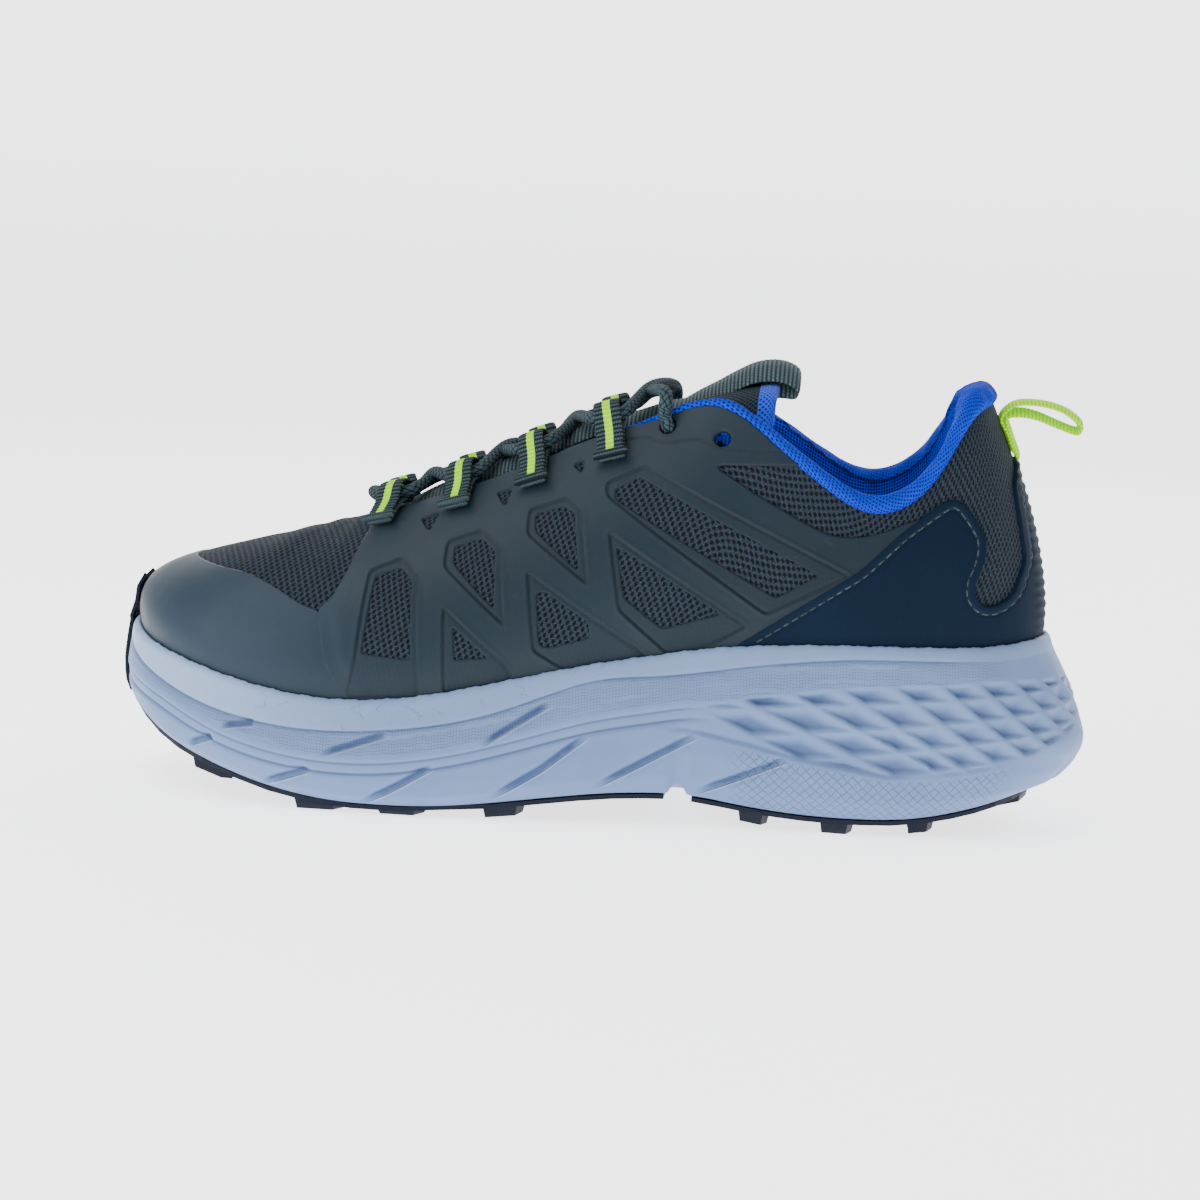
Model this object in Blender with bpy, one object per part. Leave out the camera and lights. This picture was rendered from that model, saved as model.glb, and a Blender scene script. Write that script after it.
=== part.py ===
"""Left trail running shoe, one object made of named pieces.

The toe points to -X, the heel to +X, the outer (lateral) side to -Y, up is +Z and
the ground is z = 0.  Sizes are in millimetres and become metres in solid().
"""
import math

import bmesh
import bpy
import numpy as np

for old in list(bpy.data.objects):
    bpy.data.objects.remove(old, do_unlink=True)

# Named sizes of the shoe
LENGTH = 292.0          # toe bumper to heel flare
FOOT_HALF = 48.5        # half the width of the upper across the ball
GROUND_CLEAR = 3.8      # height that the rim heights are counted from
RIM_HEIGHT = 53.7       # sole rim at the heel above that height
UPPER_HEIGHT = 73.0     # top of the heel above the rim
WALL = 2.2              # wall of the upper
GAP = 0.3               # clearance between pieces that touch
TUCK = 2.5              # how far the upper leans in below the rim
RIM_THICK = 2.7         # sole wall outside the upper at the rim
PLATE = 1.3             # thickness of the outsole plate
LUG = 3.0               # depth of the lugs under the plate
FILM = 0.8              # thickness of a film overlay
INSOLE = 4.0            # thickness of the insole
TONGUE = 3.2            # thickness of the padded tongue
TONGUE_TUCK = 12.0      # how far each side of the tongue runs under the eyestay
LACE = 3.9              # diameter of the lace
EYELET = 4.6            # diameter of a punched eyelet
STRAP = 1.1             # thickness of webbing
LOOP_WIDTH = 8.0        # width of a lace loop
TAB_WIDTH = 20.0        # width of the webbing tab on the tongue
PULL_WIDTH = 11.0       # width of the pull loop at the heel
PULL_REACH = 24.0       # how far the pull loop stands out behind the heel
PULL_RISE = 16.0        # height of the pull loop above its stitched end
COLLAR_ROLL = 7.0       # height of the padded roll over the upper's edge at the heel
COLLAR_DEPTH = 34.0     # how far the padding runs down inside the heel
COLLAR_PAD = 6.0        # thickness of the padding inside the heel
BUMPER = 1.0            # thickness of the rubber over the toe tip
LUG_LENGTH = 10.0       # a lug along the shoe
LUG_WIDTH = 12.0        # a lug across the shoe
LUG_POINT = 3.0         # how far the middle of a lug points ahead
NOTCH_X = 28.0          # groove across the sole between the two outsole plates
NOTCH_HALF = 4.0        # half the width of that groove at the ground
NOTCH_RISE = 2.2        # how far that groove cuts into the foam
HEIGHT = GROUND_CLEAR + RIM_HEIGHT + UPPER_HEIGHT
SPAN = FOOT_HALF + 30.0  # half the width that every side-view cutter covers

# Stations from the heel to the toe.  x in % of LENGTH from the toe end, widths in % of
# FOOT_HALF, rim height in % of RIM_HEIGHT, top height above the rim, rise and reach in %
# of UPPER_HEIGHT, lean and dip in degrees, sole columns in % of FOOT_HALF or RIM_HEIGHT.
COLUMNS = ("foot_x foot_lat foot_med foot_z top_x top_lat top_med top_lat_z top_med_z "
           "lean rise reach dip wide_z flare fox edge").split()
STATIONS = (
    ("heel_end", 94.9, 0.0, 0.0, 100.0, 87.7, 0.0, 0.0, 100.0, 100.0, 2, 34, 30, 66, 45, 29.5, 8, 0),
    ("heel_corner", 93.0, 35.1, 35.1, 99.1, 87.0, 24.7, 24.7, 99.3, 99.3, 2, 34, 27, 66, 45, 25, 8, -2),
    ("heel_round", 89.0, 58.8, 57.7, 97.2, 85.3, 43.3, 43.3, 92.5, 93.2, 3, 33, 25, 68, 47, 17, 7.5, -2),
    ("heel_side", 83.6, 70.1, 67.0, 96.3, 82.2, 56.7, 56.7, 69.0, 73.4, 3, 25, 19, 74, 49, 13, 7.5, -2),
    ("ankle", 77.4, 75.3, 69.1, 95.9, 77.3, 64.5, 62.0, 58.0, 63.0, 3, 18, 14, 80, 51, 11.5, 7.5, -2),
    ("ankle_front", 71.9, 76.9, 68.7, 95.0, 72.4, 65.5, 61.0, 67.0, 70.5, 3, 21, 16, 80, 52.5, 10.5, 9, -2),
    ("collar_rise", 66.4, 78.4, 68.0, 93.1, 67.3, 60.9, 55.7, 82.8, 85.0, 3, 27, 25, 74, 56, 10, 11, -2),
    ("eyestay_peak", 61.6, 80.4, 68.0, 90.3, 61.6, 47.4, 45.4, 96.2, 96.8, 4, 33, 33, 62, 60, 9.3, 12.5, -2),
    ("throat_high", 56.2, 83.5, 70.1, 85.1, 55.5, 40.2, 40.2, 91.1, 91.8, 4, 33, 36, 50, 56, 9.3, 11, -2),
    ("throat_mid", 50.0, 87.6, 74.2, 78.6, 49.0, 37.1, 38.1, 84.9, 85.6, 4, 30, 36, 42, 49, 9.5, 9.5, -2),
    ("throat_low", 41.4, 93.8, 83.5, 67.4, 41.8, 33.0, 35.1, 80.1, 80.8, 5, 27, 36, 34, 35, 10.5, 16, -2),
    ("ball", 32.2, 100.0, 94.8, 57.2, 34.2, 27.8, 30.9, 75.3, 76.0, 6, 26, 38, 27, 24.5, 10.7, 16.5, -2),
    ("forefoot", 23.3, 97.9, 100.0, 55.3, 27.1, 19.6, 23.7, 67.8, 67.8, 7, 25, 41, 19, 23.5, 10.7, 17.5, -2),
    ("toes", 15.1, 86.6, 93.8, 61.8, 24.0, -2.5, 2.5, 60.3, 60.3, 8, 23, 47, 9, 32, 10.3, 19, -3),
    ("toe_side", 8.8, 64.9, 79.4, 69.3, 20.9, -4.1, 4.1, 51.5, 51.5, 9, 23, 49, 11.5, 45, 9.5, 16.5, 0),
    ("toe_corner", 4.2, 30.9, 55.7, 74.9, 18.5, -5.4, 5.4, 44.7, 44.7, 10, 23, 49, 14.5, 52.5, 9, 12, 2),
    ("toe_tip", 1.8, -16.5, 16.5, 79.5, 16.8, -6.6, 6.6, 39.0, 39.0, 12, 23, 49, 15.5, 56, 8.3, 9.3, 6),
)
STEPS = (3, 2, 2, 2, 2, 2, 2, 2, 2, 1, 1, 2, 2, 2, 2, 2)   # stations in each interval
RIDGE = 13                                                   # row where the throat closes

# Height of the lowest edge of the sole wall: % of LENGTH from the toe end, millimetres.
EDGE_LINE = ((0, 25), (3.1, 20.5), (5.8, 16.5), (9.2, 12.5), (14, 8), (18.5, 4.6), (22.6, 2.6),
             (26, 1.6), (28.8, 1.3), (33.6, 1.3), (37.7, 1.9), (41.8, 3.2), (47.3, 5.4),
             (52.7, 7.3), (57.9, 8), (61.6, 7.4), (65.8, 5.2), (70.5, 3.6), (74.7, 3),
             (80.1, 3), (83.6, 3.9), (87.3, 6), (91.4, 8.6), (94.9, 11), (100, 15))
# Height of the footbed: % of LENGTH from the toe end, millimetres.
FOOTBED_LINE = ((0, 37.5), (7.2, 30), (14, 25), (20.9, 21.8), (29.5, 21), (39.7, 23),
                (51.7, 28.5), (62, 33.5), (70.5, 36), (80.8, 36.8), (100, 37.5))

# Collar: station, then % of COLLAR_ROLL, COLLAR_DEPTH and COLLAR_PAD.
COLLAR = ((0, 100, 100, 100), (2, 93, 91, 100), (4, 71, 76, 92), (5, 63, 68, 83),
          (6, 57, 59, 70), (7, 46, 35, 40), (8, 23, 18, 17))
COLLAR_END = 8.0
# Webbing lace loops: % of LENGTH from the toe end.
LACE_LOOPS = (29.1, 36.3, 43.8, 51.2)
# Punched holes of the eyestay: % of LENGTH from the toe end, millimetres below its edge.
EYELETS = ((56.7, 5.5), (62.2, 12.5))


def spline_loop(points, where):
    """Periodic cubic spline through equally spaced points, read at fractional indices."""
    points = np.asarray(points, float)
    count = len(points)
    matrix = 4 * np.eye(count) + np.roll(np.eye(count), 1, 0) + np.roll(np.eye(count), -1, 0)
    bend = np.linalg.solve(matrix, 6 * (np.roll(points, -1, 0) - 2 * points + np.roll(points, 1, 0)))
    where = np.mod(np.asarray(where, float), count)
    low = np.floor(where).astype(int) % count
    high = (low + 1) % count
    t = (where - np.floor(where)).reshape(-1, *([1] * (points.ndim - 1)))
    r = 1 - t
    return (r * points[low] + t * points[high]
            + ((r ** 3 - r) * bend[low] + (t ** 3 - t) * bend[high]) / 6)


def x_of(share):
    return (share / 100 - 0.5) * LENGTH


def line(table, x):
    """Height read off a short table by distance along the shoe."""
    at = np.array([x_of(p[0]) for p in table])
    value = np.array([p[1] for p in table], float)
    x = np.asarray(x, float)
    smooth = [np.interp(x + d, at, value) for d in (-5.0, -2.5, 0.0, 2.5, 5.0)]
    return sum(smooth) / 5


TABLE = {name: np.array([row[1 + i] for row in STATIONS], float) for i, name in enumerate(COLUMNS)}
LAST = len(STATIONS) - 1
SIDE = [-1] * LAST + [-1] + [1] * (LAST - 1)
ROW = list(range(LAST + 1)) + list(range(LAST - 1, 0, -1))


def both_sides(name):
    return np.array([TABLE[name][r] for r in ROW])


def foot_loop():
    x = x_of(both_sides("foot_x"))
    lat, med = both_sides("foot_lat"), both_sides("foot_med")
    y = np.where(np.array(SIDE) < 0, -lat, med) * FOOT_HALF / 100
    z = GROUND_CLEAR + both_sides("foot_z") * RIM_HEIGHT / 100
    return np.stack([x, y, z], 1)


def top_loop():
    x = x_of(both_sides("top_x"))
    side = np.array(SIDE) < 0
    y = np.where(side, -both_sides("top_lat"), both_sides("top_med")) * FOOT_HALF / 100
    up = np.where(side, both_sides("top_lat_z"), both_sides("top_med_z")) * UPPER_HEIGHT / 100
    z = GROUND_CLEAR + both_sides("foot_z") * RIM_HEIGHT / 100 + up
    return np.stack([x, y, z], 1)


FOOT = foot_loop()
TOP = top_loop()
COUNT = len(FOOT)


def value(name, where):
    return spline_loop(both_sides(name), where)


def foot_at(where):
    return spline_loop(FOOT, where)


def top_at(where):
    """Top line; from the closed end of the throat on both sides share the ridge."""
    where = np.asarray(where, float)
    here = spline_loop(TOP, where)
    there = spline_loop(TOP, COUNT - where)
    row = np.minimum(np.mod(where, COUNT), COUNT - np.mod(where, COUNT))
    return np.where((row >= RIDGE - 1e-6)[:, None], (here + there) / 2, here)


def outward(where):
    """Level direction out of the foot line."""
    step = spline_loop(FOOT, np.asarray(where) + 0.02) - spline_loop(FOOT, np.asarray(where) - 0.02)
    normal = np.stack([-step[:, 1], step[:, 0], 0 * step[:, 0]], 1)
    return normal / np.linalg.norm(normal, axis=1)[:, None]


def profiles(where, samples=49):
    """Cubic section of the upper from the foot line to the top line, at each station."""
    foot, top, out = foot_at(where), top_at(where), outward(where)
    lean, dip = np.radians(value("lean", where)), np.radians(value("dip", where))
    rise = (value("rise", where) * UPPER_HEIGHT / 100)[:, None]
    reach = (value("reach", where) * UPPER_HEIGHT / 100)[:, None]
    across = 12 * out + (foot - top) * (1, 1, 0)
    across /= np.linalg.norm(across, axis=1)[:, None]
    up = np.array([0, 0, 1.0])
    low = foot + rise * (np.cos(lean)[:, None] * up + np.sin(lean)[:, None] * out)
    high = top + reach * (np.cos(dip)[:, None] * across - np.sin(dip)[:, None] * up)
    t = np.linspace(0, 1, samples)[None, :, None]
    a, b, c, d = (p[:, None, :] for p in (foot, low, high, top))
    curve = (1 - t) ** 3 * a + 3 * (1 - t) ** 2 * t * b + 3 * (1 - t) * t * t * c + t ** 3 * d
    step = np.linalg.norm(np.diff(curve, axis=1), axis=2)
    run = np.concatenate([np.zeros((len(foot), 1)), np.cumsum(step, 1)], 1)
    return curve, run


def on_profile(where, drop):
    """Points of the outer surface; drop is the distance below the top line, (N, M)."""
    curve, run = profiles(where)
    points = np.empty(drop.shape + (3,))
    for i in range(len(curve)):
        for k in range(3):
            points[i, :, k] = np.interp(run[i, -1] - drop[i], run[i], curve[i, :, k])
    return points


def run_length(where):
    return profiles(where)[1][:, -1]


def skin(where, drop, offset):
    """Outer surface moved along its normal.  where (N,), drop (N, M) and offset (N, M) or one."""
    where = np.asarray(where, float)
    drop = np.asarray(drop, float)
    base = on_profile(where, drop)
    length = run_length(where)[:, None]
    share = drop / length

    def at(shift):
        other = np.mod(where + shift, COUNT)
        return on_profile(other, share * run_length(other)[:, None])

    along = at(0.03) - at(-0.03)
    upward = (on_profile(where, np.clip(drop - 1.5, 0, None))
              - on_profile(where, np.minimum(drop + 1.5, length)))
    normal = np.cross(upward, along)
    normal /= np.maximum(np.linalg.norm(normal, axis=2), 1e-9)[:, :, None]
    out = outward(where)[:, None, :]
    near = np.clip((length - drop) / 8.0, 0, 1)[:, :, None]
    near = near * near * (3 - 2 * near)
    normal = near * normal + (1 - near) * out
    row = np.minimum(np.mod(where, COUNT), COUNT - np.mod(where, COUNT))
    for i in np.where(row >= RIDGE - 1e-6)[0]:
        on_ridge = drop[i] < 1e-6
        if on_ridge.any():
            mirror = ridge_normal(row[i])
            normal[i, on_ridge] = mirror
    normal /= np.linalg.norm(normal, axis=2)[:, :, None]
    return base + normal * np.asarray(offset, float).reshape(np.shape(offset) + (1,) * (3 - np.ndim(offset)))


def ridge_normal(row):
    """Shared normal where both sides meet on the ridge of the vamp."""
    ahead, behind = top_at(np.array([row + 0.1])), top_at(np.array([row - 0.1]))
    if row > LAST - 0.2:
        ahead = top_at(np.array([float(LAST)]))
    if row < RIDGE + 0.2:
        behind = top_at(np.array([float(RIDGE)]))
    slope = (ahead - behind)[0]
    slope /= np.linalg.norm(slope)
    side = np.cross((0, 0, 1.0), slope)
    normal = np.cross(slope, side)
    return normal / np.linalg.norm(normal)


def station_list(first=0.0, last=float(LAST)):
    """Rows between two stations in the fixed steps of the table."""
    rows = []
    for i, steps in enumerate(STEPS):
        rows += [i + k / steps for k in range(steps)]
    rows.append(float(LAST))
    rows = [r for r in rows if first + 1e-6 < r < last - 1e-6]
    return [first] + rows + [last]


def full_loop():
    rows = station_list()
    return np.array(rows + [COUNT - r for r in rows[-2:0:-1]])


def footbed(x):
    return line(FOOTBED_LINE, x)


def edge_height(x):
    return line(EDGE_LINE, x)


def material(name, color, roughness):
    made = bpy.data.materials.new(name)
    made.use_nodes = True
    shader = made.node_tree.nodes["Principled BSDF"]
    shader.inputs["Base Color"].default_value = (*color, 1.0)
    shader.inputs["Roughness"].default_value = roughness
    return made


SLOTS = {
    "midsole_foam": material("midsole_foam", (0.56, 0.62, 0.71), 0.6),
    "outsole_rubber": material("outsole_rubber", (0.012, 0.02, 0.035), 0.75),
    "insole_fabric": material("insole_fabric", (0.01, 0.10, 0.42), 0.9),
    "upper_mesh": material("upper_mesh", (0.03, 0.05, 0.075), 0.85),
    "film_overlay": material("film_overlay", (0.06, 0.09, 0.11), 0.5),
    "heel_film": material("heel_film", (0.02, 0.035, 0.055), 0.45),
    "collar_fabric": material("collar_fabric", (0.005, 0.09, 0.60), 0.8),
    "tongue_mesh": material("tongue_mesh", (0.035, 0.055, 0.075), 0.85),
    "webbing": material("webbing", (0.08, 0.11, 0.13), 0.8),
    "neon_webbing": material("neon_webbing", (0.62, 0.95, 0.05), 0.6),
    "lace_cord": material("lace_cord", (0.06, 0.09, 0.11), 0.85),
}


def solid(name, points, faces, slot, hidden=False):
    """Closed mesh object from millimetre points; faces turned outward."""
    mesh = bpy.data.meshes.new(name)
    mesh.from_pydata([tuple(p) for p in np.asarray(points, float) * 0.001], [], faces)
    work = bmesh.new()
    work.from_mesh(mesh)
    bmesh.ops.remove_doubles(work, verts=work.verts, dist=0.000002)
    bmesh.ops.dissolve_degenerate(work, edges=work.edges, dist=0.000001)
    bmesh.ops.recalc_face_normals(work, faces=work.faces)
    work.to_mesh(mesh)
    work.free()
    mesh.update()
    made = bpy.data.objects.new(name, mesh)
    bpy.context.collection.objects.link(made)
    if slot:
        mesh.materials.append(SLOTS[slot])
    if hidden:
        made.hide_render = True
        made.display_type = "WIRE"
    else:
        mesh.shade_smooth()
        mesh.set_sharp_from_angle(angle=math.radians(42))
    return made


def boolean(target, cutter, kind):
    step = target.modifiers.new(kind.lower(), "BOOLEAN")
    step.operation = kind
    step.object = cutter
    step.solver = "EXACT"


def clean(target):
    """Join points closer than 0.02 mm left along cut edges and split long faces evenly."""
    step = target.modifiers.new("join", "WELD")
    step.merge_threshold = 0.00002
    step = target.modifiers.new("split", "TRIANGULATE")
    step.quad_method = "BEAUTY"
    step.ngon_method = "BEAUTY"


class Build:
    """Points and faces gathered for one solid."""

    def __init__(self):
        self.points = []
        self.faces = []

    def ring(self, points):
        start = len(self.points)
        self.points += [tuple(p) for p in points]
        return list(range(start, start + len(points)))

    def band(self, a, b, closed=True, split=False):
        count = len(a)
        for i in range(count if closed else count - 1):
            j = (i + 1) % count
            if split:
                self.faces += [(a[i], a[j], b[j]), (a[i], b[j], b[i])]
            else:
                self.faces.append((a[i], a[j], b[j], b[i]))

    def cap(self, ring, height=None, parts=2):
        """Fill a heel-to-toe loop with rungs from the lateral to the medial half."""
        half = len(ring) // 2
        rungs = [[ring[0]]]
        for i in range(1, half):
            left, right = ring[i], ring[len(ring) - i]
            rung = [left]
            for k in range(1, parts):
                t = k / parts
                p = (1 - t) * np.array(self.points[left]) + t * np.array(self.points[right])
                if height is not None:
                    p[2] = height(p[0])
                self.points.append(tuple(p))
                rung.append(len(self.points) - 1)
            rungs.append(rung + [right])
        rungs.append([ring[half]])
        for a, b in zip(rungs, rungs[1:]):
            for k in range(parts):
                p, q = a[min(k, len(a) - 1)], a[min(k + 1, len(a) - 1)]
                r, s = b[min(k + 1, len(b) - 1)], b[min(k, len(b) - 1)]
                face = []
                for v in (p, q, r, s):
                    if v not in face:
                        face.append(v)
                self.faces.append(tuple(face))


def sole_ring(where, out, height):
    """Loop at a level distance outside the foot line and a given height."""
    ring = foot_at(where) + outward(where) * np.asarray(out, float).reshape(-1, 1)
    ring[:, 2] = height
    return ring


def drawn(outline):
    """Side-view outline (x, z) as drawn on a shoe of 292 by 130.5 mm, fitted to this one."""
    return [(x / 292.0 * LENGTH, z / 130.5 * HEIGHT) for x, z in outline]


def prism(build, outline, low, high):
    """Side-view outline (x, z) swept from y = low to y = high."""
    a = build.ring([(x, low, z) for x, z in outline])
    b = build.ring([(x, high, z) for x, z in outline])
    build.band(a, b)
    build.faces.append(tuple(reversed(a)))
    build.faces.append(tuple(b))


LOOP = full_loop()


# Midsole: one foam cup with its foxing band, widest line, grooves and arch
def sole_levels(where):
    """Side of the midsole from the rim to the lower edge: distance outside and height."""
    foot = foot_at(where)
    rim = foot[:, 2]
    flare = value("flare", where) * FOOT_HALF / 100
    wide = GROUND_CLEAR + value("wide_z", where) * RIM_HEIGHT / 100
    fox = rim - value("fox", where) * RIM_HEIGHT / 100
    edge = value("edge", where) * FOOT_HALF / 100
    edge_x = (foot + outward(where) * edge[:, None])[:, 0]
    low = edge_height(edge_x) + PLATE + GAP
    mid_out = RIM_THICK + np.minimum((flare - RIM_THICK) * 0.45, 1.0)
    groove = 0.9 * np.clip((48 - foot[:, 0]) / 10, 0, 1)
    return [
        (RIM_THICK - 0.7, rim),
        (RIM_THICK, rim - 0.7),
        (mid_out, fox + 0.3),
        (mid_out - 0.6, fox - 0.5),
        (mid_out + (flare - mid_out) * 0.64, (fox + wide) / 2),
        (flare, wide + 0.4),
        (flare - groove, wide - 0.5),
        (flare - groove, wide - 2.0),
        (flare - 0.1, wide - 2.9),
        (edge + (flare - edge) * 0.84, low + (wide - low) * 0.5),
        (edge + (flare - edge) * 0.58, low + (wide - low) * 0.22),
        (edge, low),
    ]


def make_midsole():
    foot = foot_at(LOOP)
    build = Build()
    levels = [(-TUCK + GAP, footbed(foot[:, 0])), (GAP, foot[:, 2] - 0.1)] + sole_levels(LOOP)
    rings = [build.ring(sole_ring(LOOP, out, z)) for out, z in levels]
    for a, b in zip(rings, rings[1:]):
        build.band(a, b)
    build.cap(rings[0], footbed)
    build.cap(rings[-1], lambda x: float(edge_height(x)) + PLATE + GAP)
    made = solid("midsole", build.points, build.faces, "midsole_foam")
    cut = Build()
    z = float(edge_height(NOTCH_X)) + PLATE
    shape = [(NOTCH_X - NOTCH_HALF, z - 5), (NOTCH_X - NOTCH_HALF * 0.4, z + NOTCH_RISE * 0.72),
             (NOTCH_X, z + NOTCH_RISE), (NOTCH_X + NOTCH_HALF * 0.4, z + NOTCH_RISE * 0.72),
             (NOTCH_X + NOTCH_HALF * 1.12, z - 5)]
    prism(cut, shape, -SPAN, SPAN)
    boolean(made, solid("notch_cutter", cut.points, cut.faces, None, hidden=True), "DIFFERENCE")
    return made


# Outsole: two rubber plates with their lugs; the front one runs up over the toe
def edge_point(where):
    out = value("edge", where) * FOOT_HALF / 100 - 0.5
    return foot_at(where) + outward(where) * out[:, None]


def row_at(x, side):
    """Station on one side whose outsole edge lies at a given x."""
    rows = np.linspace(0.2, LAST - 0.2, 400)
    where = rows if side < 0 else COUNT - rows
    at = edge_point(where)[:, 0]
    return float(where[int(np.argmin(np.abs(at - x)))])


def make_plate(name, cut_x, at_heel):
    """Closed plate under the midsole, from a straight edge at cut_x to the heel or the toe."""
    rows = np.array(station_list())
    x = foot_at(rows)[:, 0]
    rows = rows[x > cut_x + 2] if at_heel else rows[x < cut_x - 2]
    lateral, medial = list(rows), [COUNT - r for r in rows]
    place = len(rows) if at_heel else 0
    lateral.insert(place, row_at(cut_x, -1))
    medial.insert(place, row_at(cut_x, 1))
    left = edge_point(np.array(lateral))
    right = edge_point(np.array(medial))
    build = Build()
    parts = 2
    grid = []
    for a, b in zip(left, right):
        grid.append([(1 - k / parts) * a + k / parts * b for k in range(parts + 1)])
    grid = np.array(grid)
    low, high = grid.copy(), grid.copy()
    low[:, :, 2] = edge_height(grid[:, :, 0])
    high[:, :, 2] = edge_height(grid[:, :, 0]) + PLATE
    bottom = [build.ring(row) for row in low]
    top = [build.ring(row) for row in high]
    for layer in (bottom, top):
        for a, b in zip(layer, layer[1:]):
            build.band(a, b, closed=False)
    border = ([row[0] for row in bottom] + bottom[-1][1:] + [row[-1] for row in bottom[-2::-1]]
              + bottom[0][-2:0:-1])
    above = ([row[0] for row in top] + top[-1][1:] + [row[-1] for row in top[-2::-1]]
             + top[0][-2:0:-1])
    build.band(border, above)
    return solid(name, build.points, build.faces, "outsole_rubber")


# Lugs: % of LENGTH from the toe end, share of the half width (minus is lateral),
# then % of LUG_LENGTH, LUG_WIDTH and LUG_POINT.
LUGS_FRONT = (
    (8.2, -0.55, 70, 75, 100), (8.2, 0.55, 70, 75, 100), (12.3, -0.83, 90, 67, 100),
    (13.0, 0.02, 80, 117, 133), (12.3, 0.83, 90, 67, 100), (17.5, -0.5, 80, 100, 133),
    (17.5, 0.5, 80, 100, 133), (24.0, -0.86, 120, 92, 100), (22.3, 0.0, 80, 125, 133),
    (23.3, 0.86, 120, 92, 100), (27.4, -0.42, 90, 108, 133), (27.4, 0.42, 90, 108, 133),
    (32.2, -0.85, 110, 100, 100), (31.5, 0.0, 80, 125, 133), (32.2, 0.85, 110, 100, 100),
    (36.3, -0.42, 90, 100, 133), (36.3, 0.42, 90, 100, 133), (42.3, -0.84, 100, 92, 67),
    (40.8, 0.0, 80, 117, 133), (41.8, 0.84, 100, 83, 67),
)
LUGS_HEEL = (
    (66.8, -0.84, 70, 92, 67), (66.8, 0.84, 70, 83, 67), (70.5, -0.35, 80, 92, 100),
    (70.5, 0.35, 80, 92, 100), (75.0, -0.83, 80, 92, 67), (75.0, 0.83, 80, 83, 67),
    (78.8, -0.3, 80, 92, 100), (78.8, 0.3, 80, 92, 100), (83.2, -0.8, 60, 83, 67),
    (83.2, 0.8, 60, 83, 67), (87.3, -0.3, 80, 83, 100), (87.3, 0.3, 80, 83, 100),
    (92.5, 0.0, 70, 133, 100),
)


def make_lugs(name, table):
    build = Build()
    rows = np.linspace(0.2, LAST - 0.2, 300)
    left, right = edge_point(rows), edge_point(COUNT - rows)
    for at, share, *size in table:
        x = x_of(at)
        length, width, point = np.array(size) / 100 * (LUG_LENGTH, LUG_WIDTH, LUG_POINT)
        y_left = float(np.interp(x, left[::-1, 0], left[::-1, 1]))
        y_right = float(np.interp(x, right[::-1, 0], right[::-1, 1]))
        y = (y_left + y_right) / 2 + share * (y_right - y_left) / 2
        outline = ((-0.5, -0.5, 0), (0.0, -0.5, 1), (0.5, -0.5, 0), (0.5, 0.5, 0),
                   (0.0, 0.5, 1), (-0.5, 0.5, 0))
        ring_low, ring_high = [], []
        for b, a, tip in outline:
            px = x + a * length + point * tip
            py = y + b * width
            base = float(edge_height(px))
            ring_high.append((px, py, base + PLATE * 0.55))
            ring_low.append((x + (px - x) * 0.86, y + (py - y) * 0.86, max(0.0, base - LUG)))
        a, b = build.ring(ring_low), build.ring(ring_high)
        build.band(a, b)
        build.faces.append(tuple(a))
        build.faces.append(tuple(b))
    return solid(name, build.points, build.faces, None, hidden=True)


# Toe bumper: stations, and how high each one climbs over the upper
BUMPER_ROWS = (15.78, 15.9, 16.0, 16.15, 16.33, 16.5, 16.66)
BUMPER_JAG = (9.0, 12.5, 10.5, 13.5, 11.0, 12.5, 8.0)


def make_bumper():
    """Rubber that climbs the toe tip in front of the midsole and the toe cap."""
    where = np.array(BUMPER_ROWS)
    jag = np.array(BUMPER_JAG)
    length = run_length(where)
    levels = sole_levels(where)[::-1]
    edge, low = levels[0]
    front, back = [], []
    for move, rise in ((-4.0, PLATE * 0.6), (0.35, PLATE - 0.05)):
        ring = sole_ring(where, edge + move, low)
        ring[:, 2] = edge_height(ring[:, 0]) + rise
        back.append(ring)
        ring = sole_ring(where, edge + move + (0.6 if move > 0 else 0.0), low)
        ring[:, 2] = edge_height(ring[:, 0])
        front.append(ring)
    for k in (0, 1, 2, 3, 6, 7, 9, 10):
        out, z = levels[k]
        back.append(sole_ring(where, out + GAP + 0.1, z))
        front.append(sole_ring(where, out + GAP + 0.1 + BUMPER, z))
    out, z = levels[-1]
    back.append(sole_ring(where, out + 1.0 + GAP, z + 0.3))
    front.append(sole_ring(where, out + 1.0 + GAP + BUMPER, z + 0.3))
    for share in (0.45, 1.0):
        drop = (length - jag * share)[:, None]
        front.append(skin(where, drop, GAP + FILM + GAP + BUMPER)[:, 0])
        back.append(skin(where, drop, GAP + FILM + GAP)[:, 0])
    build = Build()
    outer = [build.ring(r) for r in front]
    inner = [build.ring(r) for r in back]
    for layer in (outer, inner):
        for a, b in zip(layer, layer[1:]):
            build.band(a, b, closed=False)
    border = [r[0] for r in outer] + outer[-1][1:] + [r[-1] for r in outer[-2::-1]] + outer[0][-2:0:-1]
    other = [r[0] for r in inner] + inner[-1][1:] + [r[-1] for r in inner[-2::-1]] + inner[0][-2:0:-1]
    build.band(border, other)
    return solid("bumper_form", build.points, build.faces, None, hidden=True)


# Insole: a soft sheet on the footbed inside the upper
def make_insole():
    foot = foot_at(LOOP)
    bed = footbed(foot[:, 0]) + GAP
    inset = -(TUCK + WALL + 0.4)
    build = Build()
    rings = [build.ring(sole_ring(LOOP, inset, bed)),
             build.ring(sole_ring(LOOP, inset + 0.5, bed + INSOLE - 1.0)),
             build.ring(sole_ring(LOOP, inset - 1.5, bed + INSOLE))]
    for a, b in zip(rings, rings[1:]):
        build.band(a, b)
    build.cap(rings[0], lambda x: float(footbed(x)) + GAP)
    build.cap(rings[-1], lambda x: float(footbed(x)) + GAP + INSOLE)
    return solid("insole", build.points, build.faces, "insole_fabric")


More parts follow.
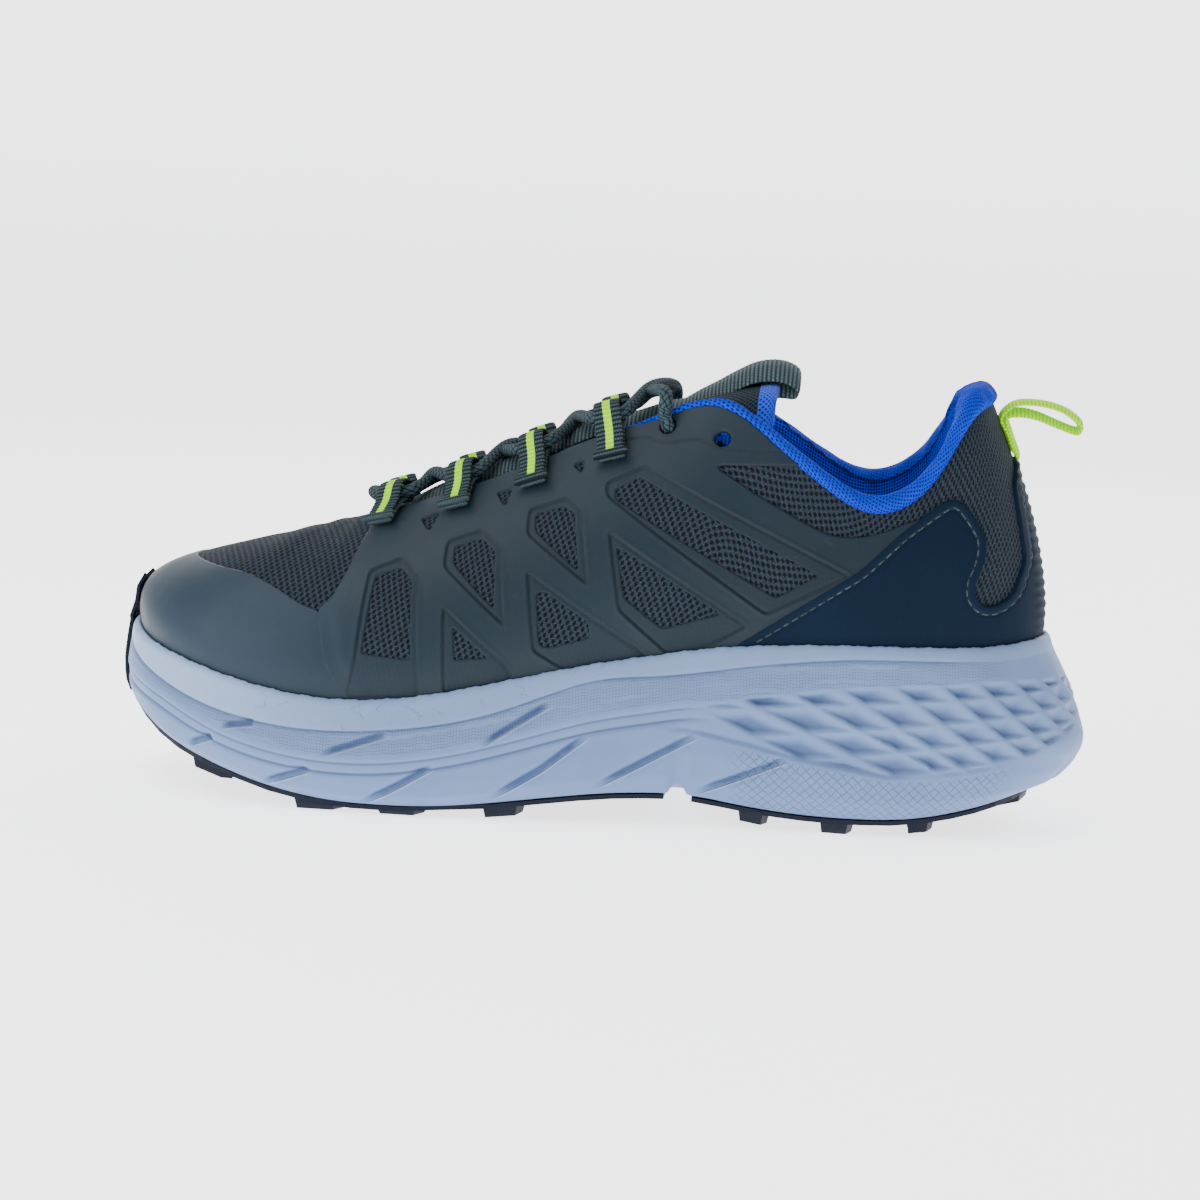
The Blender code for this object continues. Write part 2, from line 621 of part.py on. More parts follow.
# Upper: one hollow shell, open at the collar, the throat and underneath
def collar_width(where):
    row = np.minimum(np.mod(where, COUNT), COUNT - np.mod(where, COUNT))
    at = [c[0] for c in COLLAR] + [8.5]
    return np.interp(row, at, [c[1] / 100 * COLLAR_ROLL for c in COLLAR] + [0.0])


def skin_solid(where, shares, outer, inner, tuck=False, top_gap=0.0, bottom_gap=0.0,
               closed=False):
    """Shell between two offsets of the outer surface over a run of stations.

    shares run from the foot line (0) to the upper's own top edge (1).
    """
    where = np.asarray(where, float)
    length = run_length(where)
    start = collar_width(where)
    row = np.minimum(np.mod(where, COUNT), COUNT - np.mod(where, COUNT))
    start = np.where(row >= RIDGE - 1e-6, 0.0, start)
    drop = start[:, None] + (length - start)[:, None] * (1 - np.asarray(shares))[None, :]
    drop[:, -1] += np.where(row >= RIDGE - 1e-6, 0.0, top_gap)
    drop[:, 0] -= bottom_gap
    build = Build()
    layers = []
    for offset in (outer, inner):
        grid = skin(where, drop, offset)
        rings = []
        if tuck:
            foot = foot_at(where)
            bed = footbed(foot[:, 0]) + GAP
            for t in (1.0, 0.5):
                z = foot[:, 2] + (bed - foot[:, 2]) * t
                rings.append(build.ring(sole_ring(where, offset - TUCK * t, z)))
        rings += [build.ring(grid[:, k]) for k in range(grid.shape[1])]
        for a, b in zip(rings, rings[1:]):
            build.band(a, b, closed, split=True)
        layers.append(rings)
    out, into = layers
    build.band(out[0], into[0], closed)
    count = len(where)
    for i in range(count if closed else count - 1):
        j = (i + 1) % count
        if min(row[i], row[j]) < RIDGE - 1e-6:
            build.faces.append((out[-1][i], out[-1][j], into[-1][j], into[-1][i]))
    if not closed:
        for i in (0, count - 1):
            for a, b, c, d in zip(out, out[1:], into[1:], into):
                build.faces.append((a[i], b[i], c[i], d[i]))
    return build


SHARES = np.array([0, 0.09, 0.22, 0.36, 0.5, 0.64, 0.77, 0.89, 1.0])


def place_on(share, drop, side, offset=0.0):
    """Point, along, up and normal on the upper where its top line passes a share of LENGTH."""
    rows = np.linspace(5.0, 12.9, 400)
    where = rows if side < 0 else COUNT - rows
    at = top_at(where)[:, 0]
    here = float(where[int(np.argmin(np.abs(at - x_of(share))))])
    w = np.array([here])
    point = skin(w, np.array([[drop]]), offset)[0, 0]
    normal = skin(w, np.array([[drop]]), offset + 1.0)[0, 0] - point
    low = skin(w, np.array([[drop + 1.0]]), offset)[0, 0]
    up = point - low
    up /= np.linalg.norm(up)
    along = np.cross(up, normal)
    along /= np.linalg.norm(along)
    return point, along, up, normal


def make_upper():
    build = skin_solid(LOOP, SHARES, 0.0, -WALL, tuck=True, closed=True)
    made = solid("upper", build.points, build.faces, "upper_mesh")
    cut = Build()
    for side in (-1, 1):
        for share, drop in EYELETS:
            point, along, up, normal = place_on(share, drop, side)
            rings = []
            for depth in (-WALL - 1.5, 3.0):
                centre = point + normal * depth
                turn = np.linspace(0.13, 0.13 + 2 * math.pi, 10, endpoint=False)
                rings.append(cut.ring([centre + EYELET / 2 * (math.cos(a) * along + math.sin(a) * up)
                                       for a in turn]))
            cut.band(*rings)
            cut.faces.append(tuple(rings[0]))
            cut.faces.append(tuple(rings[1]))
    cutter = solid("eyelet_cutter", cut.points, cut.faces, None, hidden=True)
    boolean(made, cutter, "DIFFERENCE")
    clean(made)
    return made, cutter


# Collar: padded roll over the top edge and the padding inside it
def make_collar():
    rows = station_list(0.0, COLLAR_END)
    where = np.array([COUNT - r for r in rows[:0:-1]] + rows)
    row = np.minimum(np.mod(where, COUNT), COUNT - np.mod(where, COUNT))
    at = [c[0] for c in COLLAR]
    width = np.interp(row, at, [c[1] / 100 * COLLAR_ROLL for c in COLLAR])[:, None]
    depth = np.interp(row, at, [c[2] / 100 * COLLAR_DEPTH for c in COLLAR])[:, None]
    thick = np.interp(row, at, [c[3] / 100 * COLLAR_PAD for c in COLLAR])[:, None]
    inner = -(WALL + GAP + 0.35)
    section = (
        (width - 0.5, 0.1 + 0 * width), (width * 0.5, 0.35 + 0.1 * width), (width * 0.12, -0.1 + 0 * width),
        (0 * width, -1.2 + 0 * width), (0 * width + 0.2, inner - thick * 0.3),
        (width * 0.45, inner - thick * 0.75), (width * 0.3 + depth * 0.3, inner - thick),
        (depth * 0.7, inner - thick * 0.75), (depth * 0.97, inner - thick * 0.35 - 0.2),
        (depth, inner - 0.4 + 0 * width), (depth * 0.97, inner + 0 * width),
        (width + 2.0, inner + 0 * width), (width - 0.5, inner + 0.3 + 0 * width),
    )
    build = Build()
    rings = [build.ring(skin(where, drop, offset)[:, 0]) for drop, offset in section]
    for a, b in zip(rings, rings[1:] + rings[:1]):
        build.band(a, b, closed=False)
    for i in (0, len(where) - 1):
        build.faces.append(tuple(r[i] for r in rings))
    return solid("collar", build.points, build.faces, "collar_fabric")


# Tongue: padded tongue under the throat, free above the eyestay
# Rows of the tongue above its last station: moved ahead and up, and drawn in by a share
TONGUE_TOP = ((15.0, 3.0, 0.88), (12.0, 2.7, 0.94), (6.0, 1.6, 0.98))


def tongue_section(row):
    """Lateral to medial points of the tongue's top face at one station."""
    gap = WALL + 0.45 + np.interp(row, (7.0, 8.5, 9.0), (3.2, 1.9, 0.0))
    sides = []
    for where in (row, COUNT - row):
        w = np.array([where, where, where])
        drop = np.array([[TONGUE_TUCK], [TONGUE_TUCK * 0.5], [0.0]])
        sides.append(skin(w, drop, -gap)[:, 0])
    left, right = sides[0], sides[1][::-1]
    a, d = left[2], right[0]
    reach = np.linalg.norm(d - a) * 0.34
    flat = np.array([1, 1, 0.55])
    b = a + (left[2] - left[1]) * flat / np.linalg.norm(left[2] - left[1]) * reach
    c = d + (right[0] - right[1]) * flat / np.linalg.norm(right[0] - right[1]) * reach
    t = np.linspace(0, 1, 6)[1:-1, None]
    arc = (1 - t) ** 3 * a + 3 * (1 - t) ** 2 * t * b + 3 * (1 - t) * t * t * c + t ** 3 * d
    return np.concatenate([left, arc, right])


def tongue_rows():
    rows = [tongue_section(r) for r in (7.0, 7.5, 8.0, 8.5, 9.0, 10.0, 11.0, 11.5, 12.0, 12.5, 12.75)]
    base = rows[0]
    free = []
    for ahead, up, squeeze in TONGUE_TOP:
        moved = base + np.array([ahead, 0, up])
        moved[:, 1] = base[:, 1].mean() + (base[:, 1] - base[:, 1].mean()) * squeeze
        free.append(moved)
    return free + rows


def make_tongue():
    rows = np.array(tongue_rows())
    along = np.gradient(rows, axis=0)
    across = np.gradient(rows, axis=1)
    normal = np.cross(along, across)
    normal /= np.linalg.norm(normal, axis=2)[:, :, None]
    normal[normal[:, :, 2] < 0] *= -1
    thick = np.array([0.45, 0.8, 1, 1, 1, 1, 1, 1, 0.8, 0.45])[None, :, None] * TONGUE
    under = rows - normal * thick
    build = Build()
    top = [build.ring(r) for r in rows]
    low = [build.ring(r) for r in under]
    for layer in (top, low):
        for a, b in zip(layer, layer[1:]):
            build.band(a, b, closed=False)
    border = [r[0] for r in top] + top[-1][1:] + [r[-1] for r in top[-2::-1]] + top[0][-2:0:-1]
    below = [r[0] for r in low] + low[-1][1:] + [r[-1] for r in low[-2::-1]] + low[0][-2:0:-1]
    build.band(border, below)
    return solid("tongue", build.points, build.faces, "tongue_mesh")


def ribbon(name, path, across, width, slot):
    """Flat strap of webbing: path (N, 3), one direction of the width, closed solid."""
    path = np.asarray(path, float)
    across = np.broadcast_to(np.asarray(across, float), path.shape)
    step = np.gradient(path, axis=0)
    normal = np.cross(step, across)
    normal /= np.linalg.norm(normal, axis=1)[:, None]
    half = across / np.linalg.norm(across, axis=1)[:, None] * width / 2
    build = Build()
    rings = []
    for i in range(len(path)):
        t = normal[i] * STRAP / 2
        rings.append(build.ring([path[i] - half[i] - t, path[i] + half[i] - t,
                                 path[i] + half[i] + t, path[i] - half[i] + t]))
    for a, b in zip(rings, rings[1:]):
        build.band(a, b)
    build.faces.append(tuple(rings[0]))
    build.faces.append(tuple(rings[-1]))
    return solid(name, build.points, build.faces, slot)


def curve_through(points, steps):
    """Rounded path through points, open, steps samples in each span."""
    points = np.asarray(points, float)
    ends = np.concatenate([2 * points[:1] - points[1:2], points, 2 * points[-1:] - points[-2:-1]])
    path = []
    for i in range(1, len(ends) - 2):
        a, b, c, d = ends[i - 1:i + 3]
        for k in range(steps):
            t = k / steps
            path.append(0.5 * (2 * b + (c - a) * t + (2 * a - 5 * b + 4 * c - d) * t * t
                               + (3 * b - a - 3 * c + d) * t ** 3))
    path.append(ends[-2])
    return np.array(path)


# Pull loop of the heel: % of PULL_REACH behind the back and of PULL_RISE above the stitched end
PULL_PATH = ((21, 92), (50, 100), (79, 88), (100, 65), (98, 48), (79, 50), (46, 70), (26, 70))
# Tab of the tongue: row of the tongue, then millimetres behind and above its middle
TAB_PATH = ((4, -1.0, 1.3), (3, 1.0, 2.0), (3, 7.0, 5.0), (3, 13.0, 7.6), (0, -2.0, 6.0),
            (0, 4.0, 4.0), (0, 5.0, -1.2), (0, 3.6, -6.0), (0, 2.2, -10.0))


def make_heel_loop():
    end, rise, edge = skin(np.array([0.0]), np.array([[22.0, 16.0, 11.0]]), 0.0)[0]
    x, z = end[0] + GAP + FILM + GAP + STRAP / 2 + 0.2, end[2]
    path = [(x, z), (rise[0] + 2.2, rise[2]), (edge[0] + 2.5, edge[2])]
    path += [(edge[0] + a / 100 * PULL_REACH, z + b / 100 * PULL_RISE) for a, b in PULL_PATH]
    path += [(rise[0] + 4.3, rise[2] + 1.0), (x + STRAP + 0.35, z)]
    path = curve_through([(x, 0, z) for x, z in path], 2)
    return ribbon("heel_pull_loop", path, (0, 1, 0), PULL_WIDTH, "neon_webbing")


def make_tongue_loop(rows):
    top = [(r[4] + r[5]) / 2 for r in rows]
    path = curve_through([(top[i][0] + x, 0, top[i][2] + z) for i, x, z in TAB_PATH], 2)
    return ribbon("tongue_pull_loop", path, (0, 1, 0), TAB_WIDTH, "webbing")


# Lace loops: folded webbing, both ends on the eyestay, an eye over the tongue
EYE_REACH = 4.8
EYE_RISE = 3.95
LOOP_SECTION = ((11.0, 2.35), (2.0, 2.5), (-2.0, 2.0), (-5.6, 0.9), (-9.1, 2.3),
                (-9.4, 5.1), (-6.0, 7.1), (-1.8, 6.8), (3.0, 4.2), (11.0, 3.9))


def eye_frame(share, side):
    """Throat edge with the directions of the lace loop, turned level towards the tongue."""
    edge, along, up, normal = place_on(share, 0.0, side)
    if along[0] < 0:
        along = -along
    flat = up * (1, 1, 0.45)
    flat /= np.linalg.norm(flat)
    over = np.cross(along, flat)
    over /= np.linalg.norm(over)
    return edge, along, flat, over if over[2] > 0 else -over


def make_lace_loops():
    for i, share in enumerate(LACE_LOOPS):
        for side, word in ((-1, "lateral"), (1, "medial")):
            edge, along, up, normal = eye_frame(share, side)
            path = []
            for drop, rise in LOOP_SECTION:
                if drop >= 0:
                    point = place_on(share, drop, side, rise)[0]
                else:
                    point = edge - up * drop + normal * rise
                path.append(point)
            ribbon("lace_loop_%s_%d" % (word, i + 1), path, along, LOOP_WIDTH, "webbing")


def eye(share, side):
    """Middle of a lace loop's eye and the direction of the shoe's length there."""
    edge, along, up, normal = eye_frame(share, side)
    return edge + up * EYE_REACH + normal * EYE_RISE, along


def tube(build, path, radius, sides=6):
    path = np.asarray(path, float)
    step = np.gradient(path, axis=0)
    step /= np.linalg.norm(step, axis=1)[:, None]
    normal = np.cross(step, (0, 0, 1.0))
    normal /= np.linalg.norm(normal, axis=1)[:, None]
    other = np.cross(normal, step)
    turn = np.linspace(0, 2 * math.pi, sides, endpoint=False) + math.pi / sides
    rings = []
    for p, n, o in zip(path, normal, other):
        rings.append(build.ring([p + radius * (math.cos(a) * n + math.sin(a) * o) for a in turn]))
    for a, b in zip(rings, rings[1:]):
        build.band(a, b)
    build.faces.append(tuple(rings[0]))
    build.faces.append(tuple(rings[-1]))


def lace_path(start):
    """One half of the lace: from the middle of the front bar to its top eyelet."""
    crown = 0.05
    half = LOOP_WIDTH * 0.65
    points = []
    first, along = eye(LACE_LOOPS[0], start)
    other = eye(LACE_LOOPS[0], -start)[0]
    middle = (first + other) / 2 + np.array([-LOOP_WIDTH, 0, -0.6])
    ahead = middle - (first - along * half)
    points.append(middle + 2.5 * ahead / np.linalg.norm(ahead) + np.array([0, 0, 0.35 * start]))
    side = start
    for i, share in enumerate(LACE_LOOPS):
        here, along = eye(share, side)
        points += [here - along * half, here, here + along * half]
        if i + 1 < len(LACE_LOOPS):
            there = eye(LACE_LOOPS[i + 1], -side)[0]
            points.append((here + there) / 2 + np.array([0, 0, crown * abs(there[1] - here[1])]))
            side = -side
    here = points[-1]
    share, drop = EYELETS[0]
    hole, along, up, normal = place_on(share, drop, -side)
    end_over = hole + up * (drop + 4.0) + normal * 4.2
    points.append((here + end_over) / 2 + np.array([0, 0, crown * abs(end_over[1] - here[1])]))
    points.append(end_over)
    points.append(hole + normal * 3.6 + up * 2.5)
    points.append(hole + normal * 2.75)
    return points


def make_laces():
    parts = []
    for name, start in (("laces", -1), ("lace_form", 1)):
        build = Build()
        tube(build, lace_path(start), LACE / 2)
        parts.append(solid(name, build.points, build.faces, "lace_cord" if start < 0 else None,
                           hidden=start > 0))
    boolean(parts[0], parts[1], "UNION")
    clean(parts[0])
    return parts[0]


# Film overlays: side-view outlines (x, z) that are cut out of a film over the upper
CAP_EDGE = ((-124.5, 67.3), (-112.6, 66.3), (-100.1, 65.5), (-89.6, 61.8), (-82.6, 58.6),
            (-78.2, 57.4), (-74.6, 42.6), (-68.8, 33.5), (-66.0, 22.0))
CAGE_OUTLINE = ((-65.5, 22.0), (-68.2, 33.7), (-74.0, 42.8), (-77.6, 57.8), (-73.9, 60.4),
                (-70.7, 67.2), (-68.2, 75.2), (-66.7, 79.6), (-66.0, 96.0), (-20.0, 116.0),
                (20.0, 130.0), (44.0, 130.0), (52.5, 116.0), (52.5, 104.2), (33.6, 103.5),
                (46.0, 96.3), (60.5, 88.7), (67.7, 85.6), (74.8, 85.3), (80.6, 86.0),
                (80.9, 81.9), (75.6, 76.4), (41.3, 53.4), (38.0, 40.0))
CAGE_WINDOWS = (
    ((-61.4, 67.3), (-54.4, 70.2), (-50.9, 66.9), (-49.2, 45.4), (-63.1, 46.4)),
    ((-39.3, 76.5), (-32.0, 79.4), (-27.7, 76.5), (-26.4, 60.7), (-38.9, 72.0)),
    ((-37.4, 54.9), (-27.6, 46.9), (-36.5, 46.0)),
    ((-16.4, 87.0), (-8.7, 89.7), (-5.6, 88.0), (-3.1, 72.4), (-16.1, 82.4)),
    ((-14.3, 65.5), (-12.3, 66.1), (0.4, 58.1), (1.1, 53.8), (-10.3, 50.5), (-12.9, 51.5)),
    ((6.0, 95.2), (12.6, 99.0), (64.7, 74.3), (53.2, 67.5), (6.2, 92.5)),
    ((7.6, 79.6), (37.7, 62.2), (21.6, 57.3), (10.4, 65.6)),
)
PATCH_EDGE = ((42.3, 53.6), (76.4, 76.4), (82.0, 82.0), (87.6, 87.5), (93.3, 92.0), (99.0, 96.4),
              (102.1, 97.4), (105.0, 96.1), (108.9, 91.1), (111.5, 86.7), (111.8, 81.9),
              (110.6, 77.1), (109.1, 73.4), (109.2, 70.0), (112.0, 67.2), (115.8, 67.7),
              (120.1, 70.9), (123.0, 80.0), (120.6, 92.2), (118.8, 100.4), (119.5, 106.6))


def film(name, where, outline, low, high, slot, windows=(), cutter=None):
    """Film over a run of stations, kept inside an outline and opened by windows."""
    build = skin_solid(where, SHARES, GAP + FILM, GAP, top_gap=0.4, bottom_gap=0.6)
    made = solid(name, build.points, build.faces, slot)
    keep = Build()
    prism(keep, drawn(outline), low, high)
    boolean(made, solid(name + "_outline", keep.points, keep.faces, None, hidden=True), "INTERSECT")
    if windows:
        cut = Build()
        for window in windows:
            prism(cut, drawn(window), low, high)
        boolean(made, solid(name + "_windows", cut.points, cut.faces, None, hidden=True), "DIFFERENCE")
    if cutter:
        boolean(made, cutter, "DIFFERENCE")
    clean(made)
    return made


def make_films(cutter):
    rows = station_list(11.0, float(LAST))
    where = np.array(rows + [COUNT - r for r in rows[-2::-1]])
    outline = CAP_EDGE + ((-160.0, 22.0), (-160.0, 67.3))
    film("toe_cap", where, outline, -SPAN, SPAN, "film_overlay")
    rows = station_list(3.0, 12.5)
    film("cage_lateral", rows, CAGE_OUTLINE, -SPAN, -0.5, "film_overlay", CAGE_WINDOWS, cutter)
    medial = [COUNT - r for r in rows[::-1]]
    film("cage_medial", medial, CAGE_OUTLINE, 0.5, SPAN, "film_overlay", CAGE_WINDOWS, cutter)
    rows = station_list(0.0, 6.5)
    where = np.array([COUNT - r for r in rows[:0:-1]] + rows)
    outline = PATCH_EDGE + ((119.5, 110.0), (150.0, 110.0), (150.0, 40.0), (42.3, 40.0))
    film("heel_counter", where, outline, -SPAN, SPAN, "heel_film")


make_midsole()
front = make_plate("outsole_forefoot", NOTCH_X - NOTCH_HALF, False)
boolean(front, make_lugs("lugs_front_form", LUGS_FRONT), "UNION")
boolean(front, make_bumper(), "UNION")
rear = make_plate("outsole_heel", NOTCH_X + NOTCH_HALF, True)
boolean(rear, make_lugs("lugs_heel_form", LUGS_HEEL), "UNION")
make_insole()
upper, eyelet_cutter = make_upper()
make_films(eyelet_cutter)
make_collar()
make_tongue()
make_heel_loop()
make_tongue_loop(tongue_rows())
make_lace_loops()
make_laces()
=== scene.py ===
"""Looks of the left trail running shoe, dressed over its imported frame.

The toe points to -X, the heel to +X, the outer (lateral) side to -Y and up is +Z.
Sizes are in millimetres and become metres where a mesh is made.
"""
import math

import bmesh
import bpy
import mathutils
import numpy as np
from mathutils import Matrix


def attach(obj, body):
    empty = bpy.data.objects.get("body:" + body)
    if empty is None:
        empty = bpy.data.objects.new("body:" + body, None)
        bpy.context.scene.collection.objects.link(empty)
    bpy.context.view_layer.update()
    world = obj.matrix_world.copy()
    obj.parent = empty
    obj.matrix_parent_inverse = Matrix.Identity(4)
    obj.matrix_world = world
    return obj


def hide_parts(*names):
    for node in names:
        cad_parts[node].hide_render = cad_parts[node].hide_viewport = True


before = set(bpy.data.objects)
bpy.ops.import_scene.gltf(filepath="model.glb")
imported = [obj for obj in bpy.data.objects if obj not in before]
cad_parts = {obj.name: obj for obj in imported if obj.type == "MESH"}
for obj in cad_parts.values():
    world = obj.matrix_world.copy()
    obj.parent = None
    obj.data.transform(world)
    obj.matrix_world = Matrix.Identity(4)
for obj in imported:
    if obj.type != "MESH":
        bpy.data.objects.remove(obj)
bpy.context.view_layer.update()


# Midsole.  One cup of moulded foam under the whole foot, cool white, with a foxing
# band, long blade grooves along the forefoot and rows of scale-shaped recesses round
# the heel.  The upper is cemented into its rim.
MM = 0.001
LENGTH = 292.0
FOOT_HALF = 48.5
GROUND_CLEAR = 3.8
RIM_HEIGHT = 53.7
UPPER_HEIGHT = 73.0
GAP = 0.3
RIM_THICK = 2.7
PLATE = 1.3
TUCK = 2.5
COLUMNS = ("foot_x foot_lat foot_med foot_z top_x top_lat top_med top_lat_z top_med_z "
           "lean rise reach dip wide_z flare fox edge").split()
STATIONS = (
    (94.9, 0.0, 0.0, 100.0, 87.7, 0.0, 0.0, 100.0, 100.0, 2, 34, 30, 66, 45, 29.5, 8, 0),
    (93.0, 35.1, 35.1, 99.1, 87.0, 24.7, 24.7, 99.3, 99.3, 2, 34, 27, 66, 45, 25, 8, -2),
    (89.0, 58.8, 57.7, 97.2, 85.3, 43.3, 43.3, 92.5, 93.2, 3, 33, 25, 68, 47, 17, 7.5, -2),
    (83.6, 70.1, 67.0, 96.3, 82.2, 56.7, 56.7, 69.0, 73.4, 3, 25, 19, 74, 49, 13, 7.5, -2),
    (77.4, 75.3, 69.1, 95.9, 77.3, 64.5, 62.0, 58.0, 63.0, 3, 18, 14, 80, 51, 11.5, 7.5, -2),
    (71.9, 76.9, 68.7, 95.0, 72.4, 65.5, 61.0, 67.0, 70.5, 3, 21, 16, 80, 52.5, 10.5, 9, -2),
    (66.4, 78.4, 68.0, 93.1, 67.3, 60.9, 55.7, 82.8, 85.0, 3, 27, 25, 74, 56, 10, 11, -2),
    (61.6, 80.4, 68.0, 90.3, 61.6, 47.4, 45.4, 96.2, 96.8, 4, 33, 33, 62, 60, 9.3, 12.5, -2),
    (56.2, 83.5, 70.1, 85.1, 55.5, 40.2, 40.2, 91.1, 91.8, 4, 33, 36, 50, 56, 9.3, 11, -2),
    (50.0, 87.6, 74.2, 78.6, 49.0, 37.1, 38.1, 84.9, 85.6, 4, 30, 36, 42, 49, 9.5, 9.5, -2),
    (41.4, 93.8, 83.5, 67.4, 41.8, 33.0, 35.1, 80.1, 80.8, 5, 27, 36, 34, 35, 10.5, 16, -2),
    (32.2, 100.0, 94.8, 57.2, 34.2, 27.8, 30.9, 75.3, 76.0, 6, 26, 38, 27, 24.5, 10.7, 16.5, -2),
    (23.3, 97.9, 100.0, 55.3, 27.1, 19.6, 23.7, 67.8, 67.8, 7, 25, 41, 19, 23.5, 10.7, 17.5, -2),
    (15.1, 86.6, 93.8, 61.8, 24.0, -2.5, 2.5, 60.3, 60.3, 8, 23, 47, 9, 32, 10.3, 19, -3),
    (8.8, 64.9, 79.4, 69.3, 20.9, -4.1, 4.1, 51.5, 51.5, 9, 23, 49, 11.5, 45, 9.5, 16.5, 0),
    (4.2, 30.9, 55.7, 74.9, 18.5, -5.4, 5.4, 44.7, 44.7, 10, 23, 49, 14.5, 52.5, 9, 12, 2),
    (1.8, -16.5, 16.5, 79.5, 16.8, -6.6, 6.6, 39.0, 39.0, 12, 23, 49, 15.5, 56, 8.3, 9.3, 6),
)
LAST = len(STATIONS) - 1
COUNT = 2 * LAST
ROW = list(range(LAST + 1)) + list(range(LAST - 1, 0, -1))
LATERAL = np.array([True] * (LAST + 1) + [False] * (LAST - 1))
EDGE_LINE = ((0, 25), (3.1, 20.5), (5.8, 16.5), (9.2, 12.5), (14, 8), (18.5, 4.6), (22.6, 2.6),
             (26, 1.6), (28.8, 1.3), (33.6, 1.3), (37.7, 1.9), (41.8, 3.2), (47.3, 5.4),
             (52.7, 7.3), (57.9, 8), (61.6, 7.4), (65.8, 5.2), (70.5, 3.6), (74.7, 3),
             (80.1, 3), (83.6, 3.9), (87.3, 6), (91.4, 8.6), (94.9, 11), (100, 15))
FOOTBED_LINE = ((0, 37.5), (7.2, 30), (14, 25), (20.9, 21.8), (29.5, 21), (39.7, 23),
                (51.7, 28.5), (62, 33.5), (70.5, 36), (80.8, 36.8), (100, 37.5))


def x_of(share):
    return (share / 100 - 0.5) * LENGTH


def height_line(table, x):
    """Height at x off a short table: straight between its points, averaged over 10 mm."""
    at = np.array([x_of(p[0]) for p in table])
    high = np.array([p[1] for p in table], float)
    return sum(np.interp(np.asarray(x, float) + d, at, high) for d in (-5.0, -2.5, 0.0, 2.5, 5.0)) / 5


def spline_loop(points, where):
    """Periodic cubic spline through equally spaced points, read at fractional indices."""
    points = np.asarray(points, float)
    count = len(points)
    matrix = 4 * np.eye(count) + np.roll(np.eye(count), 1, 0) + np.roll(np.eye(count), -1, 0)
    bend = np.linalg.solve(matrix, 6 * (np.roll(points, -1, 0) - 2 * points + np.roll(points, 1, 0)))
    where = np.mod(np.asarray(where, float), count)
    low = np.floor(where).astype(int) % count
    high = (low + 1) % count
    t = (where - np.floor(where)).reshape(-1, *([1] * (points.ndim - 1)))
    r = 1 - t
    return (r * points[low] + t * points[high]
            + ((r ** 3 - r) * bend[low] + (t ** 3 - t) * bend[high]) / 6)


def column(name):
    """One column of the station table, once round the shoe from the heel."""
    return np.array([STATIONS[r][COLUMNS.index(name)] for r in ROW], float)


def value(name, where):
    return spline_loop(column(name), where)


def read(table, x, part=1):
    """Number at x off a table of points, straight between them; the table may run downwards."""
    table = table if table[0][0] < table[-1][0] else table[::-1]
    return np.interp(x, [p[0] for p in table], [p[part] for p in table])


FOOT = np.stack([x_of(column("foot_x")),
                 np.where(LATERAL, -column("foot_lat"), column("foot_med")) * FOOT_HALF / 100,
                 GROUND_CLEAR + column("foot_z") * RIM_HEIGHT / 100], 1)


def foot_at(where):
    return spline_loop(FOOT, where)


def unit(vectors):
    return vectors / np.maximum(np.linalg.norm(vectors, axis=-1, keepdims=True), 1e-9)


def outward(where):
    """Level direction out of the foot line: its tangent turned by a quarter."""
    step = spline_loop(FOOT, np.asarray(where) + 0.02) - spline_loop(FOOT, np.asarray(where) - 0.02)
    return unit(np.stack([-step[:, 1], step[:, 0], 0 * step[:, 0]], 1))


def run_of(points):
    """Running length along a line of points."""
    return np.concatenate([[0], np.cumsum(np.linalg.norm(np.diff(points, axis=0), axis=1))])


FINE = np.linspace(0, COUNT, 3201)
RUN = run_of((foot_at(FINE) + 6 * outward(FINE))[:, :2])
AROUND = np.concatenate([FINE - COUNT, FINE[1:]])
RUN_AROUND = np.concatenate([RUN - RUN[-1], RUN[1:]])


def even_stations(first, last, step):
    """Stations between two others, equally far apart along the sole's side."""
    a, b = np.interp([first, last], AROUND, RUN_AROUND)
    at = np.linspace(a, b, max(3, int(round((b - a) / step)) + 1))
    return np.interp(at, RUN_AROUND, AROUND)


def from_heel(where):
    """Distance along the sole's side from the middle of the heel, the same on both sides."""
    at = np.interp(np.mod(where, COUNT), FINE, RUN)
    return np.minimum(at, RUN[-1] - at)


def tint(red, green, blue):
    """Colour given as sRGB numbers 0 to 255, as the linear colour that a shader takes."""
    share = np.array([red, green, blue]) / 255.0
    linear = np.where(share <= 0.04045, share / 12.92, ((share + 0.055) / 1.055) ** 2.4)
    return (*linear.tolist(), 1.0)


class Value:
    """One number or vector of a shader; arithmetic on it adds Math nodes."""

    def __init__(self, finish, socket):
        self.finish = finish
        self.socket = socket

    def math(self, operation, *others):
        return self.finish.node("ShaderNodeMath", {"operation": operation},
                                dict(enumerate((self, *others))))

    def __add__(self, other):
        return self.math("ADD", other)

    def __mul__(self, other):
        return self.math("MULTIPLY", other)

    def __sub__(self, other):
        return self.math("SUBTRACT", other)

    def __rsub__(self, other):
        return self.finish.node("ShaderNodeMath", {"operation": "SUBTRACT"}, {0: other, 1: self})

    def sine(self):
        return self.math("SINE")

    def size(self):
        return self.math("ABSOLUTE")

    def most(self, other):
        return self.math("MAXIMUM", other)

    def step(self, low, high):
        """0 at low and 1 at high, with a smooth change between."""
        return self.finish.node("ShaderNodeMapRange", {"interpolation_type": "SMOOTHSTEP"},
                                {"Value": self, "From Min": low, "From Max": high})


